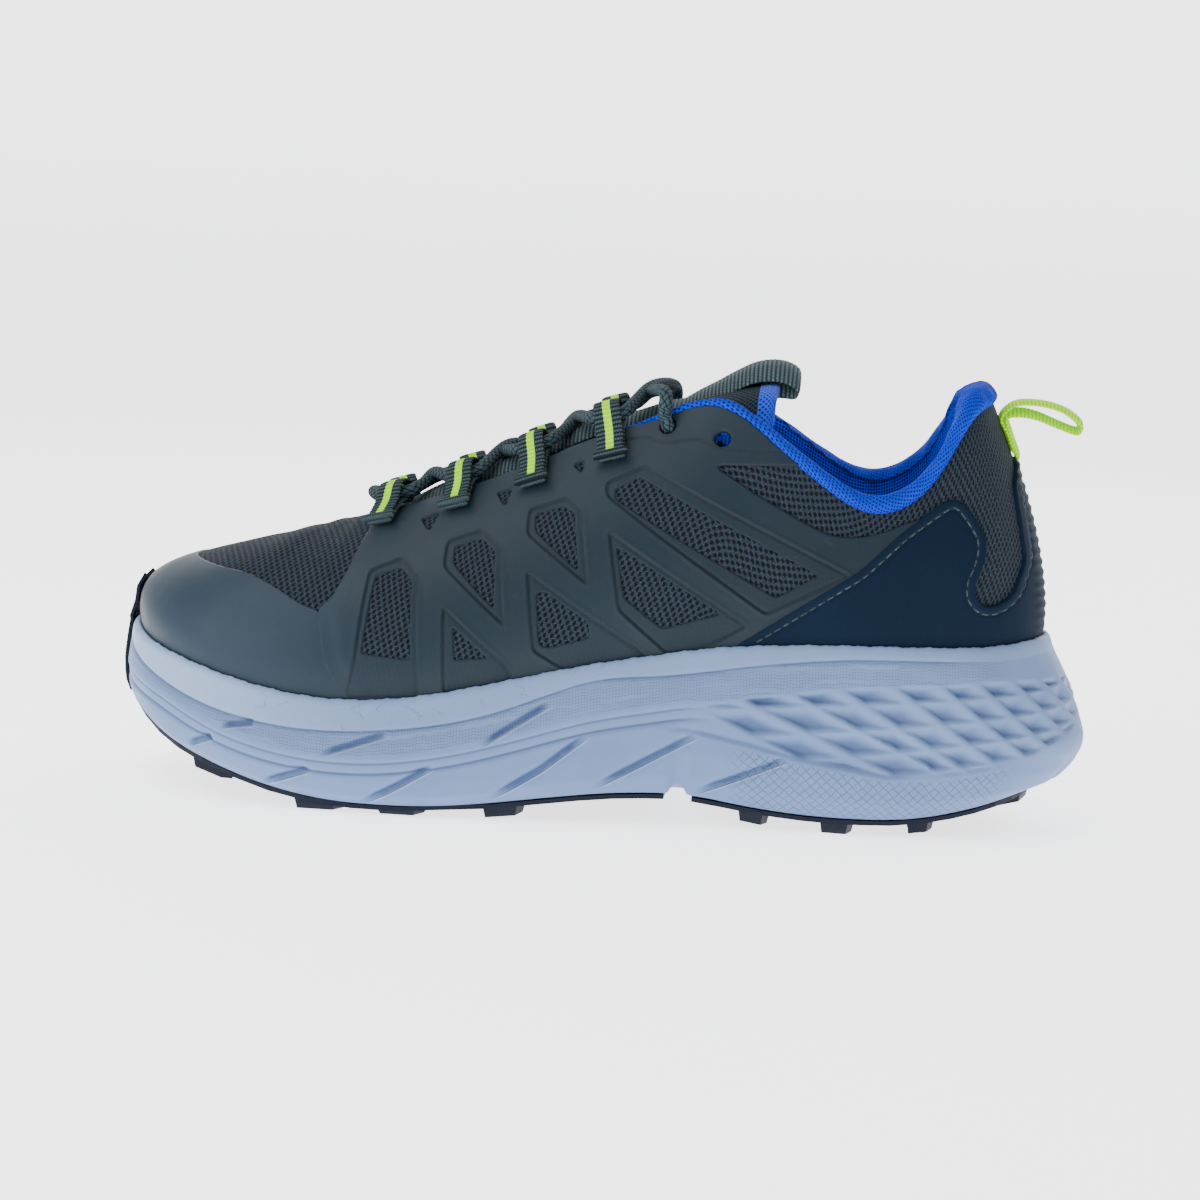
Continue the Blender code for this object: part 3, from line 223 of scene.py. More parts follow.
class Finish:
    """A material: its Principled shader, and one method that adds any other node."""

    def __init__(self, name, fixed):
        self.material = bpy.data.materials.new(name)
        self.material.use_nodes = True
        self.tree = self.material.node_tree
        self.shader = self.tree.nodes["Principled BSDF"]
        for socket, number in fixed.items():
            self.shader.inputs[socket].default_value = number

    def link(self, socket, number):
        if isinstance(number, Value):
            self.tree.links.new(number.socket, socket)
        else:
            socket.default_value = number

    def node(self, kind, settings=None, inputs=None, output=0):
        """Adds a node, with its settings first and then the numbers or links of its sockets."""
        made = self.tree.nodes.new(kind)
        for name, number in (settings or {}).items():
            setattr(made, name, number)
        for socket, number in (inputs or {}).items():
            self.link(made.inputs[socket], number)
        return Value(self, made.outputs[output])

    def put(self, links):
        """Links values to the Principled shader's own sockets."""
        for socket, number in links.items():
            self.link(self.shader.inputs[socket], number)

    def place(self):
        return self.node("ShaderNodeTexCoord", output="Object")

    def along(self):
        """The piece's own map: millimetres along and down the surface."""
        return self.node("ShaderNodeUVMap", {"uv_map": "UVMap"})

    def mark(self, name):
        return self.node("ShaderNodeAttribute", {"attribute_name": name}, output="Fac")

    def axes(self, vector):
        return [self.node("ShaderNodeSeparateXYZ", inputs={0: vector}, output=i) for i in range(3)]

    def vector(self, x, y, z=0.0):
        return self.node("ShaderNodeCombineXYZ", inputs={0: x, 1: y, 2: z})

    def stretch(self, vector, scale, turn=0.0):
        return self.node("ShaderNodeMapping", inputs={"Vector": vector, "Scale": scale,
                                                      "Rotation": (0, 0, turn)})

    def noise(self, vector, scale, detail=2.0, rough=0.5):
        return self.node("ShaderNodeTexNoise", inputs={"Vector": vector, "Scale": scale,
                                                       "Detail": detail, "Roughness": rough})

    def mix(self, share, first, second):
        return self.node("ShaderNodeMix", {"data_type": "RGBA"}, {0: share, 6: first, 7: second}, 2)

    def layers(self, tone, *coats):
        """Lays coats over a tone, each as its share and its colour."""
        for share, color in coats:
            tone = self.mix(share, tone, tint(*color))
        return tone

    def relief(self, height, depth):
        """Bump whose height 0 to 1 stands for a depth in millimetres."""
        return self.node("ShaderNodeBump", inputs={"Height": height, "Distance": depth * MM})


def grid_faces(rows, columns, wrap=False, start=0):
    """Quads of a grid of points, rows times columns; wrap joins the last row to the first."""
    index = np.arange(rows * columns).reshape(rows, columns) + start
    if wrap:
        index = np.concatenate([index, index[:1]])
    return np.stack([index[:-1, :-1], index[:-1, 1:], index[1:, 1:], index[1:, :-1]], -1).reshape(-1, 4)


def piece(name, points, faces, finish, marks=None, uv=None):
    """Mesh object from points (n, 3) in millimetres, with its point marks and its UV map."""
    mesh = bpy.data.meshes.new(name)
    points = np.asarray(points, float).reshape(-1, 3) * MM
    mesh.from_pydata(points.tolist(), [], [list(f) for f in faces])
    for mark, numbers in (marks or {}).items():
        mesh.attributes.new(mark, "FLOAT", "POINT").data.foreach_set(
            "value", np.asarray(numbers, np.float32).ravel())
    if uv is not None:
        corner = np.empty(len(mesh.loops), np.int32)
        mesh.loops.foreach_get("vertex_index", corner)
        flat = np.asarray(uv, np.float32).reshape(-1, 2)[corner]
        mesh.uv_layers.new(name="UVMap").data.foreach_set("uv", flat.ravel())
    mesh.shade_smooth()
    mesh.materials.append(finish.material)
    made = bpy.data.objects.new(name, mesh)
    bpy.context.collection.objects.link(made)
    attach(made, "root")
    return made


def weld(made, apart=0.02):
    """Joins points of a piece that lie within a distance in millimetres, so that its seams close."""
    build = bmesh.new()
    build.from_mesh(made.data)
    bmesh.ops.remove_doubles(build, verts=build.verts, dist=apart * MM)
    build.to_mesh(made.data)
    build.free()
    made.data.shade_smooth()


def grid_normals(points, wrap=False):
    """Unit normals of a grid from the differences between its rows and columns."""
    if wrap:
        along = np.roll(points, -1, 0) - np.roll(points, 1, 0)
    else:
        along = np.gradient(points, axis=0)
    return unit(np.cross(along, np.gradient(points, axis=1)))


def run_across(points):
    """Running length along axis 1 of a grid of points."""
    step = np.linalg.norm(np.diff(points, axis=1), axis=2)
    return np.concatenate([np.zeros((len(points), 1)), np.cumsum(step, 1)], 1)


def ramp(low, high, x):
    """0 below low, 1 above high and the smooth cubic between."""
    t = np.clip((x - low) / (high - low), 0, 1)
    return t * t * (3 - 2 * t)


def to_line(line, x, z):
    """Distance to a polyline in the plane, signed by side, and how far along it lies (0 to 1)."""
    line = np.asarray(line, float)
    start = run_of(line)
    lengths = np.diff(start)
    best = np.full(np.shape(x), 1e9)
    share = np.zeros(np.shape(x))
    for i in range(len(line) - 1):
        ax, az = line[i]
        dx, dz = (line[i + 1] - line[i]) / lengths[i]
        t = np.clip((x - ax) * dx + (z - az) * dz, 0, lengths[i])
        side = dx * (z - az) - dz * (x - ax)
        away = np.hypot(x - ax - t * dx, z - az - t * dz) * np.where(side < 0, -1, 1)
        near = np.abs(away) < np.abs(best)
        best = np.where(near, away, best)
        share = np.where(near, (start[i] + t) / start[-1], share)
    return best, share


# Blade grooves: distance from the heel and height of both ends
BLADES = (((278, 15.8), (267.5, 19.4)), ((252.8, 6.8), (235.6, 13.1)), ((264.3, 22.9), (253.6, 24.7)),
          ((233.2, 17.4), (212.8, 24.6)), ((187, 22.3), (167, 35.5)),
          ((222, 3.0), (212, 8.5), (200, 15.9)),
          ((185, 5.7), (170, 15.5), (156, 27.1)), ((155, 10.4), (138, 20.5), (125, 28.3)),
          ((126, 10.1), (112, 16.5), (99, 22.5)))
# Lower border of the heel's scales and upper border, distance from the heel and height
SCALE_LOW = ((150, 31), (125, 28.3), (112, 25.7), (99, 22.5), (85, 20.4), (72, 18.3), (56, 18.9),
             (44, 21), (35, 23.4), (29, 26.1), (22, 29), (14, 31.3), (8, 33.4), (0, 34.4))
SCALE_HIGH = ((150, 34), (125, 37), (110, 39.8), (98, 41.3), (90, 42.9), (73, 44.6), (57, 45.4),
              (45, 46.5), (33, 46.7), (21, 46.3), (6, 46), (0, 46))
# Where the scales' diagonal ribs start on the upper border
RIBS = (150, 131, 111, 92, 74, 59, 47, 34.5, 23.5, 13, 3, -8)
RIB_SHARE = 0.17


def heel_scales(a, z):
    """Recesses between diagonal ribs and shelves.  Each cell of the slanted lattice is the lowest of
    four planes that rise to its borders: steep ones at the rib and the shelf, long ones opposite."""
    top, low = read(SCALE_HIGH, a), read(SCALE_LOW, a)
    start = a + (45 - z) / 0.8
    for _ in range(6):
        start = a + (45 - z) / np.clip(1.17 - 0.0064 * start, 0.45, 1.0)
    rib = np.interp(-start, -np.array(RIBS, float), np.arange(len(RIBS)))
    pitch = 5.0 + 0.03 * a
    first_shelf = 45.4 - 0.08 * a
    shelf = (first_shelf - z) / pitch
    across, down = rib - np.floor(rib), shelf - np.floor(shelf)
    over_first = (first_shelf - z) / np.minimum(-pitch * 0.5, first_shelf - top - 0.01)
    down = np.where(shelf < 0, np.clip(1 - over_first, 0, 1), down)
    planes = np.minimum(np.minimum((across - RIB_SHARE) / 0.10, (1 - across) / 0.55),
                        np.minimum(down / 0.62, (1 - down) / 0.24))
    depth = np.clip(planes, 0, 1) * (1.45 + 0.007 * a)
    inside = ramp(0, 1.2, top - z) * ramp(0, 0.9, z - low) * ramp(128, 112, a)
    return -depth * inside


def wall_relief(a, z, fox, wide):
    """Height of the sole's side over its plain form: the foxing groove, the twin grooves under the
    widest line, the blades with one steep lip each, and the scales round the heel."""
    high = -0.55 * np.exp(-((z - fox) / 0.45) ** 2) * ramp(44, 60, a)
    forward = ramp(118, 134, a)
    for under, deep in ((0.6, 0.55), (3.6, 0.75)):
        high = high - deep * np.exp(-((z - wide + under) / 0.55) ** 2) * forward
    high = high - 0.35 * ramp(0, 1.2, wide - 0.6 - z) * ramp(-3.6, -2.6, z - wide) * forward
    for blade in BLADES:
        away, share = to_line(blade, a, z)
        fade = ramp(0.0, 0.25, share) * ramp(1.0, 0.8, share)
        high = high - 1.25 * np.exp(-(away / np.where(away < 0, 1.5, 0.85)) ** 2) * fade
        hollow = np.exp(-np.clip(-away, 0, None) / 3.0) * (away < 0) * ramp(-9, -3, away)
        high = high - 0.4 * hollow * fade
    border = read(SCALE_LOW, a)
    plate = ramp(140, 126, a) * ramp(60, 74, a)
    high = high + plate * (0.45 * ramp(0.2, -0.6, z - border) * ramp(-14, -4, z - border)
                           - 0.5 * np.exp(-((z - border - 0.6) / 0.5) ** 2))
    return high + heel_scales(a, z)


def make_wall():
    """Side of the cup on a grid of stations and even steps down the wall: the straight profile of each
    station from the rim to the lower edge, averaged over about 2 mm, plus the relief."""
    where = even_stations(0, COUNT, 0.92)[:-1]
    foot, out = foot_at(where), outward(where)
    rim = foot[:, 2]
    a = from_heel(where)
    flare = value("flare", where) * FOOT_HALF / 100
    wide = GROUND_CLEAR + value("wide_z", where) * RIM_HEIGHT / 100
    fox = rim - value("fox", where) * RIM_HEIGHT / 100
    edge = value("edge", where) * FOOT_HALF / 100
    low = height_line(EDGE_LINE, (foot + out * edge[:, None])[:, 0]) + PLATE + GAP
    low = low + 3.0 * np.exp(-((foot[:, 0] - 28) / 2.2) ** 4) + 1.6 * np.exp(-((a - 13) / 1.6) ** 4)
    middle = RIM_THICK + np.minimum((flare - RIM_THICK) * 0.45, 1.0)
    lip = 0.25 * np.sin(a * 0.9) * np.sin(a * 0.37 + 1) + 0.12 * np.sin(a * 2.7)
    levels = [(-TUCK, rim - 6), (GAP, rim - 0.4), (RIM_THICK * 0.45, rim + 0.35 + lip),
              (RIM_THICK, rim - 0.9), (middle, fox),
              (middle + (flare - middle) * 0.64, (fox + wide) / 2), (flare, wide + 0.4),
              (flare - 0.1, wide - 2.9), (edge + (flare - edge) * 0.84, low + (wide - low) * 0.5),
              (edge + (flare - edge) * 0.58, low + (wide - low) * 0.22), (edge, low),
              (edge - 2.5, low)]
    profile = np.array([np.broadcast_arrays(*pair, rim)[:2] for pair in levels]).transpose(2, 0, 1)
    run = run_across(profile)
    rows = 104
    even = np.linspace(0, 1, rows)
    smooth = np.empty((len(where), rows, 2))
    for i in range(len(where)):
        for k in range(2):
            smooth[i, :, k] = np.interp(even * run[i, -1], run[i], profile[i, :, k])
    for _ in range(5):
        smooth[:, 1:-1] = (smooth[:, :-2] + 2 * smooth[:, 1:-1] + smooth[:, 2:]) / 4
    points = foot[:, None, :] + out[:, None, :] * smooth[:, :, :1]
    points[:, :, 2] = smooth[:, :, 1]
    normal = grid_normals(points, wrap=True)
    side = np.broadcast_to(a[:, None], smooth.shape[:2])
    height = wall_relief(side, points[:, :, 2], fox[:, None], wide[:, None])
    outer = ramp(0.1, 0.16, even)[None, :] * ramp(1.0, 0.97, even)[None, :]
    points = points + normal * (height * outer)[:, :, None]
    blade_mark, trace = np.full(side.shape, 99.0), np.zeros(side.shape)
    for blade in BLADES:
        away, share = to_line(blade, side, points[:, :, 2])
        near = np.abs(away) < np.abs(blade_mark)
        blade_mark = np.where(near, away, blade_mark)
        fade = ramp(0.0, 0.2, share) * ramp(1.0, 0.88, share) * ramp(4.0, 2.5, np.abs(away))
        trace = np.where(near, fade, trace)
    marks = {
        "blade": blade_mark,
        "trace": trace,
        "fox": points[:, :, 2] - fox[:, None],
        "band": points[:, :, 2] - wide[:, None],
        "heel": side,
        "plate": points[:, :, 2] - read(SCALE_LOW, side),
        "above": points[:, :, 2] - read(SCALE_HIGH, side),
        "dip": -height,
    }
    uv = np.stack([side, (even[None, :] * run[:, -1:])], 2)
    return where, points, marks, uv


foam = Finish("moulded foam", {"Specular IOR Level": 0.22})
u, v, _ = foam.axes(foam.along())
fox_mark, band_mark, heel_mark = foam.mark("fox"), foam.mark("band"), foam.mark("heel")
plate_mark, dip_mark = foam.mark("plate"), foam.mark("dip")
in_fox = fox_mark.step(-0.2, 0.5)
# Square grain over the arch and the forefoot, diamond grain under the scales
squares = (u * 7.2).sine().step(0.72, 0.98).most((v * 7.2).sine().step(0.72, 0.98))
wavy = foam.noise(foam.vector(u * 0.035, v * 0.5), 1.0, 3.0)
off_scales = foam.mark("above").step(-0.4, 0.5).most(heel_mark.step(122, 138))
squares = squares * (fox_mark.step(0.6, -0.4) * band_mark.step(1.2, 2.6) * heel_mark.step(30, 46)
                     * off_scales * wavy.step(0.66, 0.5))
turned, across, _ = foam.axes(foam.stretch(foam.along(), (1, 1, 1), 0.785))
checks = (turned * 1.5).sine().size().step(0.2, 0.02).most((across * 1.5).sine().size().step(0.2, 0.02))
checks = checks * (plate_mark.step(-0.6, -2.0) * heel_mark.step(120, 108) * heel_mark.step(30, 44))
# Scratches and fine cracks of the foxing
scratch = foam.noise(foam.vector(u * 0.06, v * 5.0), 1.0, 4.0, 0.7)
sway = foam.noise(foam.vector(u * 0.05, v * 0.22), 1.0, 3.0, 0.6)
crack = (u * 0.42 + sway * 9.0).sine().size().step(0.05, 0.01)
where_cracked = foam.noise(foam.vector(u * 0.11, v * 0.16), 1.0, 2.0).step(0.50, 0.60)
cracks = crack * where_cracked * in_fox * heel_mark.step(130, 160) * heel_mark.step(275, 240)
grain = foam.noise(foam.place(), 900.0, 2.0)
# Blades: a channel, painted shade on its upper wall and a painted highlight on its lip; and painted shade along the
# lines of the grooves
blade_line, trace = foam.mark("blade"), foam.mark("trace")
channel = blade_line.step(-1.5, -0.2) * blade_line.step(0.85, 0.45) * trace
painted_shade_wall = blade_line.step(-1.9, -0.4) * blade_line.step(0.6, 0.1) * trace
painted_highlight_lip = blade_line.step(0.4, 0.75) * blade_line.step(1.5, 0.9) * trace
# Painted shade along the foxing groove and the twin grooves under the widest line
lines = fox_mark.size().step(0.45, 0.12) * heel_mark.step(40, 60)
for under in (0.6, 3.6):
    lines = lines.most((band_mark + under).size().step(0.5, 0.15) * heel_mark.step(120, 136))
height = foam.relief(channel * -2.2 + squares * -0.6 + checks * -0.8 + scratch * in_fox * 0.35
                     + cracks * -0.7 + grain * 0.12, 0.28)
dirt = foam.noise(foam.place(), 55.0, 4.0, 0.6)
stain = foam.noise(foam.place(), 130.0, 5.0, 0.7).step(0.63, 0.78)
shade = foam.layers(tint(106, 128, 168),
                    (dirt.step(0.35, 0.85) * 0.30, (88, 108, 144)),
                    (heel_mark.step(120, 20) * 0.35, (112, 134, 174)),
                    # Painted shade: the lower wall under the widest line is darker
                    (band_mark.step(0, -9) * 0.35, (84, 108, 150)),
                    # Painted shade in the recesses of the relief, darker where they are deeper
                    (dip_mark.step(0.35, 1.8) * 0.55, (58, 76, 122)),
                    (cracks * 0.35, (50, 60, 78)),
                    (squares * 0.2, (70, 82, 108)),
                    (painted_shade_wall * 0.5, (60, 78, 124)),
                    (painted_highlight_lip * 0.45, (158, 180, 212)),
                    (lines * 0.5, (50, 66, 104)),
                    (in_fox * (heel_mark.step(210, 290) * 0.45 + 0.12), (154, 175, 202)),
                    (stain * 0.16, (112, 106, 92)))
foam.put({"Base Color": shade, "Normal": height, "Roughness": dirt.step(0.2, 0.8) * 0.14 + 0.46})

wall_where, wall, wall_marks, wall_uv = make_wall()
around, down = wall.shape[:2]
top_ring = foot_at(wall_where) + outward(wall_where) * (GAP - TUCK)
top_ring[:, 2] = height_line(FOOTBED_LINE, top_ring[:, 0])


def web(ring, across, height):
    """Fills a loop from heel to toe with rungs between its two halves, at a height given by x."""
    half = len(ring) // 2
    left, right = ring[:half + 1], ring[[0] + list(range(len(ring) - 1, half - 1, -1))]
    right = right[:len(left)]
    left = left[:len(right)]
    t = np.linspace(0, 1, across)[None, :, None]
    points = left[:, None, :] * (1 - t) + right[:, None, :] * t
    points[:, 1:-1, 2] = height(points[:, 1:-1, 0])
    return points


RUNGS = 9
under = web(wall[:, -1], RUNGS, lambda x: height_line(EDGE_LINE, x) + PLATE + GAP)
over = web(top_ring, RUNGS, lambda x: height_line(FOOTBED_LINE, x))
count = around * down
over_start = count + under.shape[0] * RUNGS
lip_start = over_start + over.shape[0] * RUNGS
faces = np.concatenate([grid_faces(around, down, wrap=True)[:, ::-1],
                        grid_faces(under.shape[0], RUNGS, start=count)[:, ::-1],
                        grid_faces(over.shape[0], RUNGS, start=over_start),
                        grid_faces(around, 2, wrap=True, start=lip_start)[:, ::-1]])
lip = np.stack([top_ring, wall[:, 0]], 1)
points = np.concatenate([part.reshape(-1, 3) for part in (wall, under, over, lip)])
extra = np.zeros(len(points) - count)
marks = {name: np.concatenate([m.ravel(), extra]) for name, m in wall_marks.items()}
uv = np.concatenate([wall_uv.reshape(-1, 2), points[count:, :2]])
midsole = piece("midsole_foam_cup", points, faces, foam, marks, uv)
weld(midsole)
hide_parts("midsole")


# Upper.  One hollow shell of open knitted mesh, lasted to shape, with a soft lining.
# It is open at the collar and the throat, and its lower edge is cemented into the cup.
WALL = 2.2
COLLAR_ROLL = 7.0
RIDGE = 13
SOFT_RIDGE = 5.0
ROLL_SHARES = ((0, 100), (2, 93), (4, 71), (5, 63), (6, 57), (7, 46), (8, 23), (8.5, 0))
TOP_HIGH = np.where(LATERAL, column("top_lat_z"), column("top_med_z"))
TOP = np.stack([x_of(column("top_x")),
                np.where(LATERAL, -column("top_lat"), column("top_med")) * FOOT_HALF / 100,
                FOOT[:, 2] + TOP_HIGH * UPPER_HEIGHT / 100], 1)


def row_of(where):
    return np.minimum(np.mod(where, COUNT), COUNT - np.mod(where, COUNT))


def top_at(where):
    """Top line; from the closed end of the throat on, both sides share the ridge."""
    where = np.asarray(where, float)
    here, there = spline_loop(TOP, where), spline_loop(TOP, COUNT - where)
    return np.where((row_of(where) >= RIDGE - 1e-6)[:, None], (here + there) / 2, here)


def cubic(a, b, c, d, t):
    """Bezier curve from a to d with the handles b and c."""
    return (1 - t) ** 3 * a + 3 * (1 - t) ** 2 * t * b + 3 * (1 - t) * t * t * c + t ** 3 * d


def profiles(where, samples=49):
    """Cubic section of the upper from the foot line to the top line, with its running length."""
    foot, top, out = foot_at(where), top_at(where), outward(where)
    lean, dip = np.radians(value("lean", where)), np.radians(value("dip", where))
    rise = (value("rise", where) * UPPER_HEIGHT / 100)[:, None]
    reach = (value("reach", where) * UPPER_HEIGHT / 100)[:, None]
    across = unit(12 * out + (foot - top) * (1, 1, 0))
    up = np.array([0, 0, 1.0])
    low = foot + rise * (np.cos(lean)[:, None] * up + np.sin(lean)[:, None] * out)
    high = top + reach * (np.cos(dip)[:, None] * across - np.sin(dip)[:, None] * up)
    curve = cubic(*(p[:, None, :] for p in (foot, low, high, top)), np.linspace(0, 1, samples)[None, :, None])
    return curve, run_across(curve)


def on_profile(where, drop):
    """Points of the outer face; drop is the distance below the top line, (stations, drops)."""
    curve, run = profiles(where)
    points = np.empty(drop.shape + (3,))
    for i in range(len(curve)):
        for k in range(3):
            points[i, :, k] = np.interp(run[i, -1] - drop[i], run[i], curve[i, :, k])
    return points


def run_length(where):
    return profiles(where)[1][:, -1]


def ridge_normal(where):
    """Normal where both sides meet on the vamp's ridge: square to the ridge, level across."""
    row = np.clip(row_of(where), RIDGE, LAST)
    slope = top_at(np.minimum(row + 0.1, LAST)) - top_at(np.maximum(row - 0.1, RIDGE))
    return unit(np.cross(slope, np.cross((0, 0, 1.0), slope)))


def skin(where, drop):
    """Points and outward normals of the upper's outer face.  The ridge of the vamp is rounded
    over: near it the height falls by slope times (hypot(d, soft) - d), where d is the distance
    from the ridge."""
    where = np.asarray(where, float)
    base = on_profile(where, drop)
    length = run_length(where)[:, None]
    share = drop / length

    def beside(shift):
        other = np.mod(where + shift, COUNT)
        return on_profile(other, share * run_length(other)[:, None])

    along = beside(0.03) - beside(-0.03)
    upward = (on_profile(where, np.clip(drop - 1.5, 0, None))
              - on_profile(where, np.minimum(drop + 1.5, length)))
    normal = unit(np.cross(upward, along))
    near = ramp(0, 8, length - drop)[:, :, None]
    normal = near * normal + (1 - near) * outward(where)[:, None, :]
    closed = ramp(12.7, 13.05, row_of(where))[:, None]
    away = np.hypot(drop, SOFT_RIDGE)
    share = (closed * (1 - drop / away))[:, :, None]
    normal = (1 - share) * normal + share * ridge_normal(where)[:, None, :]
    base[:, :, 2] -= closed * np.tan(np.radians(value("dip", where)))[:, None] * (away - drop) * 0.9
    return base, unit(normal)


def roll_width(where):
    return read(ROLL_SHARES, row_of(where)) / 100 * COLLAR_ROLL


def drops(where, rows):
    """Distances below the top line, from the foot line up to the collar's roll or the ridge."""
    length = run_length(where)
    start = np.where(row_of(where) >= RIDGE - 1e-6, 0.0, roll_width(where))
    return start[:, None] + (length - start)[:, None] * (1 - np.linspace(0, 1, rows))[None, :]


def place_on(share, drop, side, offset=0.0):
    """Point, along, up and normal on the upper where its top line passes a share of LENGTH."""
    rows = np.linspace(5.0, 12.9, 400)
    where = rows if side < 0 else COUNT - rows
    here = where[[int(np.argmin(np.abs(top_at(where)[:, 0] - x_of(share))))]]
    point, normal = skin(here, np.array([[drop]]))
    low = skin(here, np.array([[drop + 1.0]]))[0][0, 0]
    point, normal = point[0, 0], normal[0, 0]
    up = unit(point - low)
    return point + normal * offset, unit(np.cross(up, normal)), up, normal


EYELETS = ((56.7, 5.5), (62.2, 12.5))
EYELET = 4.6
HOLES = [place_on(share, drop, side) for side in (-1, 1) for share, drop in EYELETS]


def from_holes(points):
    """Distance outside the nearest punched eyelet, measured square to its axis."""
    best = np.full(points.shape[:-1], 50.0)
    for centre, along, up, normal in HOLES:
        off = points - centre
        flat = np.hypot(off @ along, off @ up) + 4 * np.clip(np.abs(off @ normal) - 6, 0, None)
        best = np.minimum(best, flat - EYELET / 2)
    return best


def split(data, faces, field):
    """Divides each triangle that the line field = 0 crosses.  The two points on its crossed edges come
    from the ratio of the field's values, and every column of the point data is mixed in that ratio."""
    field = np.where(np.abs(field) < 1e-4, 1e-4, field)
    up = field[faces] > 0
    total = up.sum(1)
    keep = faces[(total == 0) | (total == 3)]
    cut = (total == 1) | (total == 2)
    tri, side = faces[cut], up[cut]
    lone = np.where(side.sum(1)[:, None] == 1, side, ~side).argmax(1)
    turn = (lone[:, None] + np.arange(3)) % 3
    tri = np.take_along_axis(tri, turn, 1)
    pairs = np.sort(np.concatenate([tri[:, [0, 1]], tri[:, [0, 2]]]), axis=1)
    edges, index = np.unique(pairs, axis=0, return_inverse=True)
    index = index.ravel() + len(data)
    a, b = field[edges[:, 0]], field[edges[:, 1]]
    t = (a / (a - b))[:, None]
    made = data[edges[:, 0]] * (1 - t) + data[edges[:, 1]] * t
    m, n = index[:len(tri)], index[len(tri):]
    parts = [np.stack([tri[:, 0], m, n], 1), np.stack([m, tri[:, 1], tri[:, 2]], 1),
             np.stack([m, tri[:, 2], n], 1)]
    return np.concatenate([data, made]), np.concatenate([keep] + parts)


def keep_part(data, faces, field):
    """Drops the triangles where the field is below zero, and the points that no triangle uses."""
    faces = faces[field[faces].mean(1) > 0]
    used, index = np.unique(faces, return_inverse=True)
    return data[used], index.reshape(-1, 3)


def triangles(quads):
    return np.concatenate([quads[:, [0, 1, 2]], quads[:, [0, 2, 3]]])


def knit_map(where, points, drop):
    """Map of the fabric in millimetres: along the shoe and down from the top line, and over the vamp
    the length and the straight distance from the ridge, signed by side."""
    ridge = top_at(np.linspace(RIDGE, LAST, 60))
    crest = np.interp(-points[:, :, 0], -ridge[:, 0], ridge[:, 2])
    flat = np.hypot(points[:, :, 1], crest - points[:, :, 2]) * np.sign(points[:, :, 1] + 1e-9)
    a = np.broadcast_to(from_heel(where)[:, None], drop.shape)
    vamp = (row_of(where) > 11.7)[:, None]
    return np.stack([np.where(vamp, points[:, :, 0] + 200, a), np.where(vamp, flat, drop)], 2)


mesh_knit = Finish("knitted mesh", {"Roughness": 0.9, "Specular IOR Level": 0.25})


def knit(finish, pitch, tall, hole, thread, light, turn=0.0, size=(0.12, 0.42)):
    """Staggered holes between threads: the product of two sines along the fabric, warped by noise.
    Returns the colour and the bump height, 1 on the threads and 0 in the holes."""
    cloth = finish.along()
    warp = finish.noise(finish.stretch(cloth, (0.55, 0.55, 1)), 1.0, 2.0)
    fine = finish.noise(finish.stretch(cloth, (2.6, 2.6, 1)), 1.0, 1.0)
    x, y, _ = finish.axes(finish.stretch(cloth, (1, 1, 1), turn) if turn else cloth)
    x = x * (2 * math.pi / pitch) + (warp - 0.5) * 1.5
    y = y * (2 * math.pi / tall) + (fine - 0.5) * 1.5
    opening = (x.sine() * y.sine()).step(*size)
    strand = finish.noise(finish.stretch(cloth, (1.6, 7.0, 1), 0.7), 1.0, 2.0, 0.6)
    tone = finish.mix(strand.step(0.36, 0.72), thread, light)
    return finish.mix(opening, tone, hole), (1 - opening) * 0.8 + strand * 0.35


tone, height = knit(mesh_knit, 2.1, 2.7, tint(0, 1, 5), tint(9, 17, 27), tint(54, 71, 86),
                    turn=0.35, size=(0.06, 0.26))
mesh_knit.put({"Base Color": tone, "Normal": mesh_knit.relief(height, 0.45)})
lining = Finish("soft blue lining", {"Roughness": 0.92, "Specular IOR Level": 0.2, "Sheen Weight": 0.2})
tone, height = knit(lining, 2.3, 3.2, tint(0, 14, 90), tint(0, 56, 208), tint(6, 92, 255))
lining.put({"Base Color": tone, "Normal": lining.relief(height, 0.4)})


def creases(points):
    """Soft troughs at listed places across the flex of the vamp, each with its low ridge behind it."""
    high = np.zeros(points.shape[:-1])
    for x, lean, depth, wide in ((-74, 0.16, 0.5, 3.2), (-84, -0.1, 0.4, 3.6), (-96, 0.05, 0.3, 4.5)):
        at = points[..., 0] - x - lean * points[..., 1]
        fade = ramp(34, 10, np.abs(points[..., 1])) * ramp(58, 66, points[..., 2])
        high += depth * fade * (0.5 * np.exp(-((at - wide) / wide) ** 2) - np.exp(-(at / wide) ** 2))
    return high


def make_shell():
    """Outer and inner faces of the upper as triangles, joined over the edge and under the foot."""
    where = even_stations(0, COUNT, 1.12)[:-1]
    foot, out = foot_at(where), outward(where)
    bed = height_line(FOOTBED_LINE, foot[:, 0]) + GAP
    layers = []
    for offset, rows in ((0.0, 92), (-WALL, 26)):
        drop = drops(where, rows)
        base, normal = skin(where, drop)
        grid = base + normal * (offset + creases(base)[:, :, None])
        tuck = np.stack([foot + out * (offset - TUCK * t) for t in (1.0, 0.6, 0.3)], 1)
        tuck[:, :, 2] = foot[:, None, 2] + (bed - foot[:, 2])[:, None] * np.array([1.0, 0.6, 0.3])
        cloth = knit_map(where, base, drop)
        cloth = np.concatenate([cloth[:, [0] * 3] + np.array([[[0, 9], [0, 5], [0, 2.5]]]), cloth], 1)
        layers.append((np.concatenate([tuck, grid], 1), cloth))
    return where, layers


shell_where, ((outer, outer_map), (inner, inner_map)) = make_shell()
n = len(shell_where)
high_out, high_in = outer.shape[1], inner.shape[1]
start = n * high_out
